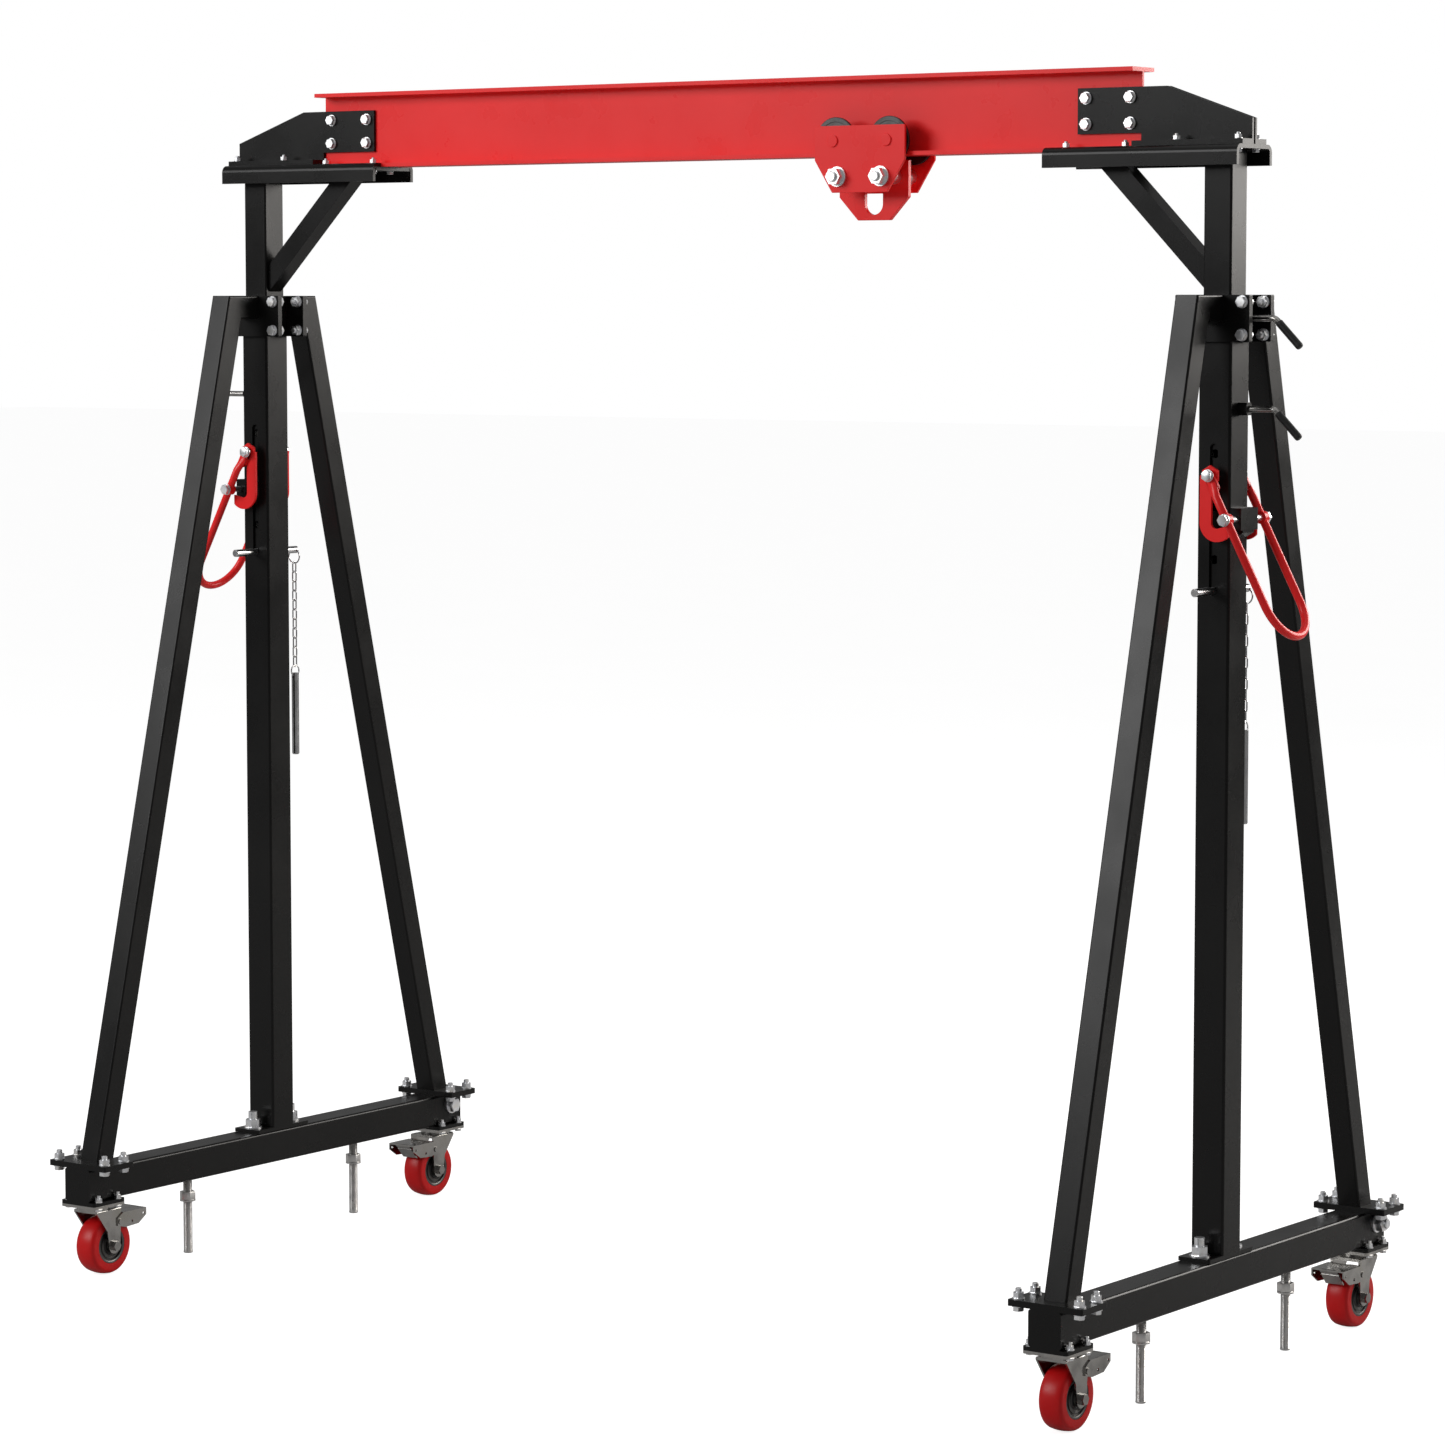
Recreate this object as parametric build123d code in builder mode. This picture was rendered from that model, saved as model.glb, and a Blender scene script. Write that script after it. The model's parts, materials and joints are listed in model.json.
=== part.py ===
from build123d import *
import math
import os

# Portable gantry crane. Millimetres, +Z up. X runs along the I-beam, Y along the base beams.
# The origin is on the floor, midway between the four casters.
# The right tower (x > 0) is built here and the left one is its mirror image about x = 0.

# ---------------------------------------------------------------- overall sizes
post_spacing = 2400.0  # between the two posts
base_length = 1240.0  # of each base beam
post_top = 2071.0  # top of the outer posts above the floor
beam_seat = 2344.0  # underside of the I-beam above the floor, at the lowest setting
beam_inset = 181.5  # post centre to the end of the I-beam

# ---------------------------------------------------------------- casters
wheel_diameter = 125.0
wheel_width = 50.0
hub_diameter = 78.0
axle_diameter = 12.0
crown_gap = 12.0  # tyre to the underside of the fork's crown
crown_thickness = 6.0
race_height = 8.0
race_diameter = 68.0
caster_plate = 96.0
caster_plate_thickness = 6.0
caster_trail = 29.0
fork_thickness = 4.0
fork_gap = 4.5  # wheel side to the fork arm
pedal_pin = 8.0
pedal_sheet = 3.0
pedal_length = 80.0  # pivot to the pedal's edge

# ---------------------------------------------------------------- base beams
base_tube = 70.0
base_wall = 4.0
base_corner = 6.0
cap_thickness = 4.0
pad_thickness = 8.0
corner_plate_width = 160.0
corner_plate_length = 88.0
corner_plate_thickness = 6.0
corner_bolt_x = 65.0
corner_bolt_y = 29.0
caster_bolt_x = 43.0
caster_bolt_y = 29.0
jack_y = 277.0
jack_diameter = 20.0
jack_nut_height = 135.0  # top of the locking nut above the floor
cross_bolt_inset = 35.0  # from the rear end of the base beam
cross_bolt_height = 44.0  # above the underside of the base beam

# ---------------------------------------------------------------- towers
post_tube = 70.0
post_wall = 4.0
post_corner = 5.0
post_foot_length = 168.0
post_foot_thickness = 8.0
post_stud_y = 62.0
leg_tube = 50.0
leg_wall = 3.0
leg_corner = 4.0
leg_inset = 35.0  # leg's outer face to the end of the base beam, at the foot
leg_reach = 95.0  # length of the level tube at the head of the leg
collar_width = 160.0
collar_height = 88.0
collar_thickness = 6.0
collar_bolt_x = 65.0
collar_bolt_z = 31.0
inner_tube = 60.0
inner_wall = 4.0
inner_corner = 4.0
pin_height = 1513.0
pin_diameter = 16.0
pin_front = 70.0  # stand-out in front of the post
pin_rear = 64.0
slot_length = 270.0  # between the centres of the slot's round ends
slot_clearance = 0.5
index_pitch = 100.0
index_holes = 5
first_index = 51.0  # first index hole above the lock pin

# ---------------------------------------------------------------- clamp screws
clamp_heights = (1857.0, 2027.0)
clamp_diameter = 12.0
clamp_nut = 24.0
clamp_nut_length = 20.0
clamp_reach = 74.0  # post face to the bend
clamp_bend_radius = 16.0
clamp_tail = 77.0  # bend to the end of the grip, 45 degrees downward
grip_diameter = 15.0
grip_length = 66.0
grip_cap = 3.0

# ---------------------------------------------------------------- lever and hooks
block_width = 64.0
block_depth = 23.0
block_height = 42.0
pivot_out = 12.0  # post face to the pivot
pivot_height = 1650.0
pivot_diameter = 12.0
lever_bar = 16.0
lever_angle = 28.0  # off the vertical
lever_above = 93.0  # pivot to the hook bolt
lever_below = 246.0  # pivot to the middle of the loop's end
lever_clear = 33.0  # post face to the middle of the lever's bar
lever_eye_thickness = 6.0
hook_thickness = 6.0
hook_face = 15.0  # post face to the near side of the hook plate
hook_bolt = 12.0
hook_drop = 88.5  # hook bolt to the centre of the hook
hook_shift = 15.0
hook_outer_radius = 36.5
hook_inner_radius = 11.5
hook_tip_angle = 45.0
hook_tip_rise = 20.0
hook_head_radius = 19.5

# ---------------------------------------------------------------- tether
wire = 3.0
wire_gap = 0.2
ring_diameter = 33.0
link_length = 27.0
link_width = 13.0
link_count = 11
small_ring_diameter = 28.0
jack_pin_length = 181.0

# ---------------------------------------------------------------- bridge
beam_height = 158.0
beam_width = 80.0
beam_web = 6.0
beam_flange = 8.0
beam_root_radius = 8.0
channel_width = 133.0
channel_depth = 39.0
channel_corner = 15.0
channel_inboard = 366.0  # post centre to the channel's inner end
channel_outboard = 61.0
seat_thickness = 8.0
seat_width = 110.0
seat_clearance = 1.0
seat_lap = 22.0  # past the end of the I-beam's pocket
channel_wall = 8.0
brace_tube = 40.0
brace_wall = 3.0
brace_clear = 9.0  # outer post's top to the brace's lowest point
gusset_thickness = 6.0
gusset_inboard = 321.5
gusset_outboard = 61.0
gusset_top = 121.0  # above the I-beam's underside
gusset_slope_start = 124.0  # inboard of the post centre
gusset_outer_height = 57.0
gusset_underside = 33.5
foot_inboard = 180.0
foot_width = 45.0
foot_thickness = 10.0
gusset_bolt_x = (302.0, 204.0)
gusset_bolt_z = (52.5, 102.0)
foot_bolt_x = (88.0, -45.0)
foot_bolt_y = 33.0
flange_bolt_x = (335.0, 203.0)
flange_bolt_y = 28.0

# ---------------------------------------------------------------- trolley
trolley_x = 405.0
trolley_plate = 6.0
trolley_gap = 10.0  # I-beam flange to the side plate
trolley_half_top = 107.0
trolley_half_bottom = 65.5
trolley_top = 60.0  # above the I-beam's underside
trolley_shoulder = 7.5  # below the I-beam's underside
trolley_bottom = 71.5
trolley_wheelbase = 127.0
tread_radius = 22.0
tread_start = 14.0
rim_radius = 47.0
rim_width = 6.0
roll_gap = 0.3
trolley_axle = 16.0
rivet_head = 24.0
trolley_bolt = 20.0
trolley_bolt_x = 51.0
trolley_bolt_z = 40.0
load_plate_thickness = 10.0
load_plate_half = 82.0
load_plate_drop = 8.0  # below the I-beam's underside
load_plate_bottom = 125.5
load_plate_taper = 45.5
load_plate_tip = 38.0
eye_width = 43.0
eye_rise = 17.0
eye_floor = 11.0

# ---------------------------------------------------------------- fits
run_fit = 0.06  # radial, on every turning pair
hole_gap = 0.5  # radial, bolts in their holes
face_gap = 0.3  # between faces that slide past each other

# ---------------------------------------------------------------- worked-out places
post_x = post_spacing / 2
caster_height = wheel_diameter + crown_gap + crown_thickness + race_height + caster_plate_thickness
base_z = caster_height + pad_thickness
base_mid = base_z + base_tube / 2
base_top = base_z + base_tube
base_half = base_length / 2
caster_y = base_half - caster_plate / 2
corner_y = base_half - corner_plate_length / 2
leg_foot_z = base_top + 2 * corner_plate_thickness
post_half = post_tube / 2
post_foot_top = base_top + post_foot_thickness
collar_out = post_half + collar_thickness
flange_out = collar_out + collar_thickness
collar_mid = post_top - collar_height / 2
post_face = post_x + post_half
pivot_x = post_face + pivot_out
channel_top = beam_seat + beam_flange
channel_under = channel_top - channel_wall
beam_half = post_x - beam_inset
lever_half_width = post_half + lever_clear
hook_near = post_half + hook_face
hook_far = hook_near + hook_thickness
eye_near = hook_far + face_gap
eye_far = eye_near + lever_eye_thickness
lever_up = Vector(-math.sin(math.radians(lever_angle)), 0, math.cos(math.radians(lever_angle)))
hook_pin = Vector(pivot_x, 0, pivot_height) + lever_up * lever_above
trolley_inner = beam_width / 2 + trolley_gap
trolley_outer = trolley_inner + trolley_plate
axle_z = beam_seat + beam_flange + tread_radius + roll_gap

os.makedirs("parts", exist_ok=True)


def write(part, name):
    part.label = name
    export_step(part, f"parts/{name}.step")


def write_pair(part, name):
    # the right tower's piece, and its mirror image on the left tower
    write(part, f"right_{name}")
    write(mirror(part, about=Plane.YZ), f"left_{name}")


def tube(size, wall, corner):
    # cross-section of a square hollow tube
    with BuildSketch() as section:
        RectangleRounded(size, size, corner)
        RectangleRounded(size - 2 * wall, size - 2 * wall, max(corner - wall, 1), mode=Mode.SUBTRACT)
    return section.sketch


def hexagon(across_flats):
    with BuildSketch() as outline:
        RegularPolygon(across_flats / 2, 6, major_radius=False)
    return outline.sketch


def fastener(size, flats, head, grip, nut, stick):
    # bolt, two washers and nut on +Z: the head's bearing face is at z = 0, the nut's at z = grip
    washer = size / 5
    with BuildPart() as bolt:
        with BuildSketch(Plane.XY.offset(-washer - head)):
            add(hexagon(flats))
        extrude(amount=head)
        chamfer(bolt.faces().sort_by(Axis.Z)[0].edges(), head / 8)
        with BuildSketch(Plane.XY.offset(-washer)):
            Circle(size)
        extrude(amount=washer)
        with BuildSketch():
            Circle(size / 2)
        extrude(amount=grip + washer + nut + stick)
        chamfer(bolt.faces().sort_by(Axis.Z)[-1].edges(), size / 12)
        with BuildSketch(Plane.XY.offset(grip)):
            Circle(size)
        extrude(amount=washer)
        with BuildSketch(Plane.XY.offset(grip + washer)):
            add(hexagon(flats))
        extrude(amount=nut)
    return bolt.part


# ---------------------------------------------------------------- base beams
corner_spots = [(post_x, side * corner_y) for side in (-1, 1)]
caster_spots = [(post_x, side * caster_y) for side in (-1, 1)]
jack_spots = [(post_x, side * jack_y) for side in (-1, 1)]

with BuildPart() as base_beam:
    with BuildSketch(Plane((post_x, 0, base_mid), x_dir=(1, 0, 0), z_dir=(0, 1, 0))):
        add(tube(base_tube, base_wall, base_corner))
    extrude(amount=base_half, both=True)
    with BuildSketch(Plane((post_x, -base_half, base_mid), x_dir=(1, 0, 0), z_dir=(0, 1, 0))):
        RectangleRounded(base_tube, base_tube, base_corner)
    extrude(amount=cap_thickness)
    with BuildSketch(Plane((post_x, base_half, base_mid), x_dir=(1, 0, 0), z_dir=(0, -1, 0))):
        RectangleRounded(base_tube, base_tube, base_corner)
    extrude(amount=cap_thickness)
    with BuildSketch(Plane.XY.offset(caster_height)):
        with Locations(*caster_spots):
            RectangleRounded(caster_plate, caster_plate, base_corner)
            with GridLocations(2 * caster_bolt_x, 2 * caster_bolt_y, 2, 2):
                Circle(4 + hole_gap, mode=Mode.SUBTRACT)
    extrude(amount=pad_thickness)
    with BuildSketch(Plane.XY.offset(base_top)):
        with Locations(*corner_spots):
            RectangleRounded(corner_plate_width, corner_plate_length, 3)
            with GridLocations(2 * corner_bolt_x, 2 * corner_bolt_y, 2, 2):
                Circle(6 + hole_gap, mode=Mode.SUBTRACT)
    extrude(amount=corner_plate_thickness)
    with BuildSketch(Plane.XY.offset(base_z + base_wall)):
        with Locations(*jack_spots):
            Circle(jack_diameter * 0.8)
    extrude(amount=jack_diameter * 0.8)
    with BuildSketch(Plane.XY.offset(base_z)):
        with Locations(*jack_spots):
            Circle(jack_diameter / 2 + run_fit)
    extrude(amount=base_wall + jack_diameter * 0.8, mode=Mode.SUBTRACT)
    cross_axis = Plane((post_x, base_half - cross_bolt_inset, base_z + cross_bolt_height), z_dir=(1, 0, 0))
    with BuildSketch(cross_axis):
        Circle(10 + hole_gap)
    extrude(amount=base_tube, both=True, mode=Mode.SUBTRACT)
write_pair(base_beam.part, "base_beam")

with BuildPart() as caster_plates:
    with BuildSketch(Plane.XY.offset(caster_height - caster_plate_thickness)):
        with Locations(*caster_spots):
            RectangleRounded(caster_plate, caster_plate, base_corner)
            with GridLocations(2 * caster_bolt_x, 2 * caster_bolt_y, 2, 2):
                Circle(4 + hole_gap, mode=Mode.SUBTRACT)
    extrude(amount=caster_plate_thickness)
write_pair(caster_plates.part, "caster_plates")

# ---------------------------------------------------------------- outer post
with BuildPart() as outer_post:
    with BuildSketch(Plane((post_x, 0, post_foot_top))):
        add(tube(post_tube, post_wall, post_corner))
    extrude(amount=post_top - post_foot_top)
    with BuildSketch(Plane((post_x, 0, base_top))):
        RectangleRounded(post_tube, post_foot_length, 3)
        with Locations((0, -post_stud_y), (0, post_stud_y)):
            Circle(10 + hole_gap, mode=Mode.SUBTRACT)
        Circle(post_tube / 4, mode=Mode.SUBTRACT)
    extrude(amount=post_foot_thickness)
    for side in (-1, 1):
        with BuildSketch(Plane((post_x, side * post_half, collar_mid), x_dir=(1, 0, 0), z_dir=(0, side, 0))):
            RectangleRounded(collar_width, collar_height, 2)
            with GridLocations(2 * collar_bolt_x, 2 * collar_bolt_z, 2, 2):
                Circle(6 + hole_gap, mode=Mode.SUBTRACT)
        extrude(amount=collar_thickness)
    with BuildSketch(Plane((post_x, 0, pin_height + slot_length / 2), x_dir=(0, 0, 1), z_dir=(0, -1, 0))):
        SlotCenterToCenter(slot_length, pin_diameter + 2 * slot_clearance)
    extrude(amount=post_half, both=True, mode=Mode.SUBTRACT)
    for height in clamp_heights:
        with BuildSketch(Plane((post_face, 0, height), x_dir=(0, 1, 0), z_dir=(1, 0, 0))):
            add(hexagon(clamp_nut))
        extrude(amount=clamp_nut_length)
        with BuildSketch(Plane((post_x, 0, height), x_dir=(0, 1, 0), z_dir=(1, 0, 0))):
            Circle(clamp_diameter / 2 + run_fit)
        extrude(amount=post_half + clamp_nut_length, mode=Mode.SUBTRACT)
    with BuildSketch(Plane((post_face, 0, pivot_height), x_dir=(0, 1, 0), z_dir=(1, 0, 0))):
        Rectangle(block_width, block_height)
    extrude(amount=block_depth)
    block_foot = (post_face, 0, pivot_height - block_height / 2)
    with BuildSketch(Plane(block_foot, x_dir=(1, 0, 0), z_dir=(0, -1, 0))):
        with BuildLine():
            Polyline((0, 0), (block_depth - 2, 0), (block_depth - 2, -5), (0, -16), close=True)
        make_face()
    extrude(amount=block_width / 3, both=True)
    with BuildSketch(Plane((pivot_x, 0, pivot_height), x_dir=(1, 0, 0), z_dir=(0, 1, 0))):
        Circle(pivot_diameter / 2 + hole_gap)
    extrude(amount=block_width, both=True, mode=Mode.SUBTRACT)
write_pair(outer_post.part, "outer_post")

# ---------------------------------------------------------------- legs
leg_head_y = flange_out + leg_reach
leg_foot_y = base_half - leg_inset
leg_slope = (leg_foot_y - leg_head_y) / (post_top - leg_foot_z)
leg_across = leg_tube * math.sqrt(1 + leg_slope**2)
leg_knee_y = leg_head_y + leg_slope * leg_tube - leg_across

leg_outline = [
    (leg_foot_y - leg_across, leg_foot_z),
    (leg_foot_y, leg_foot_z),
    (leg_head_y, post_top),
    (flange_out, post_top),
    (flange_out, post_top - leg_tube),
    (leg_knee_y, post_top - leg_tube),
]

with BuildPart() as rear_leg:
    with BuildSketch(Plane((post_x, 0, 0), x_dir=(0, 1, 0), z_dir=(1, 0, 0))):
        with BuildLine():
            Polyline(*leg_outline, close=True)
        make_face()
    extrude(amount=leg_tube / 2, both=True)
    long_edges = rear_leg.faces().filter_by(Axis.X).edges().filter_by(
        lambda e: e.center().Z > leg_foot_z + 1 and e.center().Y > flange_out + 1
    )
    fillet(long_edges, leg_corner)
    with BuildSketch(Plane((post_x, 0, 0), x_dir=(0, 1, 0), z_dir=(1, 0, 0))):
        with BuildLine():
            Polyline(*leg_outline, close=True)
        make_face()
        offset(amount=-leg_wall, kind=Kind.INTERSECTION, mode=Mode.REPLACE)
    extrude(amount=leg_tube / 2 - leg_wall, both=True, mode=Mode.SUBTRACT)
    with BuildSketch(Plane.XY.offset(leg_foot_z - corner_plate_thickness)):
        with Locations((post_x, corner_y)):
            RectangleRounded(corner_plate_width, corner_plate_length, 3)
            with GridLocations(2 * corner_bolt_x, 2 * corner_bolt_y, 2, 2):
                Circle(6 + hole_gap, mode=Mode.SUBTRACT)
    extrude(amount=corner_plate_thickness)
    with BuildSketch(Plane.XY.offset(leg_foot_z - corner_plate_thickness)):
        with Locations((post_x, leg_foot_y - leg_across / 2)):
            Circle(leg_tube / 5)
    extrude(amount=2 * corner_plate_thickness, mode=Mode.SUBTRACT)
    with BuildSketch(Plane((post_x, collar_out, collar_mid), x_dir=(1, 0, 0), z_dir=(0, 1, 0))):
        RectangleRounded(collar_width, collar_height, 2)
        with GridLocations(2 * collar_bolt_x, 2 * collar_bolt_z, 2, 2):
            Circle(6 + hole_gap, mode=Mode.SUBTRACT)
    extrude(amount=collar_thickness)
write_pair(rear_leg.part, "rear_leg")
write_pair(mirror(rear_leg.part, about=Plane.XZ), "front_leg")

# ---------------------------------------------------------------- tower fasteners
plate_grip = 2 * corner_plate_thickness
corner_bolt = fastener(12, 19, 8, plate_grip, 10, 8)
caster_bolt = fastener(8, 13, 3.5, caster_plate_thickness + pad_thickness, 7, 6)
collar_bolt = fastener(12, 19, 8, 2 * collar_thickness, 10, 5)
cross_bolt = fastener(20, 30, 12.5, base_tube, 16, 8)
lever_outside = lever_half_width + lever_bar / 2 + face_gap
pivot_bolt = fastener(12, 19, 8, 2 * lever_outside, 8, 2)

with BuildPart() as tower_bolts:
    for x, y in corner_spots:
        with Locations(Plane((x, y, base_top))):
            with GridLocations(2 * corner_bolt_x, 2 * corner_bolt_y, 2, 2):
                add(corner_bolt)
    for x, y in caster_spots:
        with Locations(Plane((x, y, caster_height - caster_plate_thickness))):
            with GridLocations(2 * caster_bolt_x, 2 * caster_bolt_y, 2, 2):
                add(caster_bolt)
    for side in (-1, 1):
        outside = (post_x, side * flange_out, collar_mid)
        with Locations(Plane(outside, x_dir=(1, 0, 0), z_dir=(0, -side, 0))):
            with GridLocations(2 * collar_bolt_x, 2 * collar_bolt_z, 2, 2):
                add(collar_bolt)
        with BuildSketch(Plane((post_x, side * post_stud_y, base_top))):
            Circle(10)
        extrude(amount=post_foot_thickness + 37)
        with BuildSketch(Plane((post_x, side * post_stud_y, post_foot_top))):
            Circle(20)
        extrude(amount=3)
        with BuildSketch(Plane((post_x, side * post_stud_y, post_foot_top + 3))):
            add(hexagon(30))
        extrude(amount=17)
    inner_side = Plane((post_x - base_tube / 2, base_half - cross_bolt_inset, base_z + cross_bolt_height),
                       x_dir=(0, 1, 0), z_dir=(1, 0, 0))
    with Locations(inner_side):
        add(cross_bolt)
    with Locations(Plane((pivot_x, -lever_outside, pivot_height), x_dir=(1, 0, 0), z_dir=(0, 1, 0))):
        add(pivot_bolt)
write_pair(tower_bolts.part, "tower_bolts")

# ---------------------------------------------------------------- jack legs
rod_top = base_z + base_wall + jack_diameter * 0.8
with BuildPart() as jack_leg:
    with BuildSketch():
        Circle(jack_diameter / 2)
    extrude(amount=rod_top)
    chamfer(jack_leg.faces().filter_by(Axis.Z).edges(), 1)
    with BuildSketch(Plane.XY.offset(jack_nut_height - 18)):
        add(hexagon(30))
    extrude(amount=18)
    with BuildSketch(Plane.XY.offset(jack_nut_height - 21)):
        Circle(17)
    extrude(amount=3)
for end, y in (("front", -jack_y), ("rear", jack_y)):
    write_pair(Pos(post_x, y, 0) * jack_leg.part, f"{end}_jack_leg")

# ---------------------------------------------------------------- lock pins
pin_start = -post_half - pin_front
pin_end = post_half + pin_rear
ring_y = pin_end - 8
ring_radius = (ring_diameter - wire) / 2
eye_height = wire + 3
with BuildPart() as lock_pin:
    with BuildSketch(Plane((post_x, pin_start, pin_height), x_dir=(1, 0, 0), z_dir=(0, 1, 0))):
        Circle(pin_diameter / 2)
    extrude(amount=pin_end - pin_start)
    chamfer(lock_pin.faces().filter_by(Axis.Y).edges(), 2)
    with BuildSketch(Plane((post_x, ring_y, pin_height - 1), x_dir=(0, 1, 0), z_dir=(1, 0, 0))):
        SlotOverall(eye_height + 0.5, wire + 1, rotation=90)
    extrude(amount=pin_diameter, both=True, mode=Mode.SUBTRACT)
write_pair(lock_pin.part, "lock_pin")

# ---------------------------------------------------------------- tethers: ring, chain, ring, jack pin
with BuildPart() as link:
    with BuildLine(Plane.XZ) as link_path:
        half_straight = (link_length - link_width) / 2
        half_gauge = (link_width - wire) / 2
        right_side = Line((half_gauge, -half_straight), (half_gauge, half_straight))
        ThreePointArc(right_side @ 1, (0, half_straight + half_gauge), (-half_gauge, half_straight))
        left_side = Line((-half_gauge, half_straight), (-half_gauge, -half_straight))
        ThreePointArc(left_side @ 1, (0, -half_straight - half_gauge), right_side @ 0)
    with BuildSketch(Plane((half_gauge, 0, -half_straight), z_dir=(0, 0, 1))):
        Circle(wire / 2)
    sweep(path=link_path.wire())

link_pitch = link_length - 2 * wire - wire_gap
ring_middle = pin_height - ring_radius
first_link = ring_middle - ring_radius + wire + wire_gap - (link_length - wire) / 2
last_link = first_link - (link_count - 1) * link_pitch
small_ring_radius = (small_ring_diameter - wire) / 2
small_ring_z = last_link - (link_length - wire) / 2 + wire + wire_gap - small_ring_radius
pin_eye_z = small_ring_z - small_ring_radius
with BuildPart() as tether:
    with Locations(Plane((post_x, ring_y, ring_middle), x_dir=(1, 0, 0), z_dir=(0, 1, 0))):
        Torus(ring_radius, wire / 2)
    for index in range(link_count):
        with Locations(Location((post_x, ring_y, first_link - index * link_pitch), (0, 0, 90 * (index + 1)))):
            add(link.part)
    with BuildSketch(Plane((post_x, ring_y, pin_eye_z + pin_diameter / 2 - jack_pin_length))):
        Circle(pin_diameter / 2)
    extrude(amount=jack_pin_length)
    chamfer(tether.faces().sort_by(Axis.Z)[0].edges(), 2)
    with BuildSketch(Plane((post_x, ring_y, pin_eye_z + 1), x_dir=(1, 0, 0), z_dir=(0, 1, 0))):
        SlotOverall(eye_height + 2, wire + 1, rotation=90)
    extrude(amount=pin_diameter, both=True, mode=Mode.SUBTRACT)
    with Locations(Plane((post_x, ring_y, small_ring_z), x_dir=(0, 1, 0), z_dir=(1, 0, 0))):
        Torus(small_ring_radius, wire / 2)
write_pair(tether.part, "tether")

# ---------------------------------------------------------------- clamp screws and grips
tail_way = Vector(1, 0, -1).normalized()
for level, height in zip(("lower", "upper"), clamp_heights):
    screw_tip = Vector(post_x + inner_tube / 2 + hole_gap, 0, height)
    bend = Vector(post_face + clamp_reach, 0, height)
    grip_start = bend + tail_way * (clamp_tail - grip_length)
    grip_plane = Plane(grip_start, x_dir=(0, 1, 0), z_dir=tail_way)
    with BuildPart() as clamp_screw:
        with BuildLine() as rod_path:
            rod_end = bend + tail_way * (clamp_tail - grip_cap)
            FilletPolyline(screw_tip, bend, rod_end, radius=clamp_bend_radius)
        with BuildSketch(Plane(screw_tip, x_dir=(0, 1, 0), z_dir=(1, 0, 0))):
            Circle(clamp_diameter / 2)
        sweep(path=rod_path.wire())
    write_pair(clamp_screw.part, f"{level}_clamp_screw")

    with BuildPart() as grip:
        with BuildSketch(grip_plane):
            Circle(grip_diameter / 2)
        extrude(amount=grip_length)
        fillet(grip.faces().sort_by(Axis.Z)[0].edges(), 2)
        with BuildSketch(grip_plane):
            Circle(clamp_diameter / 2)
        extrude(amount=grip_length - grip_cap, mode=Mode.SUBTRACT)
    write_pair(grip.part, f"{level}_grip")

# ---------------------------------------------------------------- levers
pivot = Vector(pivot_x, 0, pivot_height)
lever_normal = Vector(-math.cos(math.radians(lever_angle)), 0, -math.sin(math.radians(lever_angle)))
lever_plane = Plane(pivot, x_dir=(0, 1, 0), z_dir=lever_normal)
leg_start = -(lever_above - lever_bar)
loop_start = lever_below - lever_half_width
hook_grip = eye_far - hook_near + face_gap
hook_bolt_set = fastener(hook_bolt, 19, 7, hook_grip, 6, 1)

with BuildPart() as lever:
    with BuildLine(lever_plane) as bar_path:
        front_bar = Line((-lever_half_width, leg_start), (-lever_half_width, loop_start))
        loop = ThreePointArc(front_bar @ 1, (0, lever_below), (lever_half_width, loop_start))
        Line(loop @ 1, (lever_half_width, leg_start))
    with BuildSketch(Plane(bar_path.wire() @ 0, x_dir=(0, 1, 0), z_dir=lever_up * -1)):
        Circle(lever_bar / 2)
    sweep(path=bar_path.wire())
    for side in (-1, 1):
        with BuildSketch(Plane(pivot + (0, side * eye_near, 0), x_dir=lever_up, z_dir=(0, side, 0))):
            with Locations((lever_above - lever_bar, 0)):
                SlotCenterToCenter(2 * lever_bar, 20)
        extrude(amount=lever_eye_thickness)
        bar_inside = pivot + (0, side * (lever_half_width - lever_bar / 2), 0)
        with BuildSketch(Plane(bar_inside, z_dir=(0, side, 0))):
            Circle(pivot_diameter)
        extrude(amount=lever_bar)
        with BuildSketch(Plane(pivot, z_dir=(0, side, 0))):
            Circle(pivot_diameter / 2 + run_fit)
        extrude(amount=lever_half_width + lever_bar, mode=Mode.SUBTRACT)
        with Locations(Plane(hook_pin + (0, side * eye_far, 0), z_dir=(0, -side, 0))):
            add(hook_bolt_set)
write_pair(lever.part, "lever")

# ---------------------------------------------------------------- lift hooks
with BuildPart() as lift_hooks:
    for near_face in (-hook_near, hook_far):
        with BuildSketch(Plane(hook_pin + (0, near_face, 0), x_dir=(1, 0, 0), z_dir=(0, -1, 0))):
            with BuildLine():
                hook_centre = (hook_shift, -hook_drop)
                outer_arc = CenterArc(hook_centre, hook_outer_radius, 180, 180 - hook_tip_angle)
                tip = Line(outer_arc @ 1, outer_arc @ 1 + (0, hook_tip_rise))
                inner_arc = CenterArc(hook_centre, hook_inner_radius, 180, 90)
                Line(tip @ 1, inner_arc @ 1)
                Polyline(inner_arc @ 0, (hook_shift - hook_inner_radius, 0),
                         (hook_shift - hook_outer_radius, 0), outer_arc @ 0)
            make_face()
            RegularPolygon(hook_head_radius, 6, rotation=90)
            Circle(hook_bolt / 2 + run_fit, mode=Mode.SUBTRACT)
        extrude(amount=hook_thickness)
write_pair(lift_hooks.part, "lift_hooks")

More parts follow.
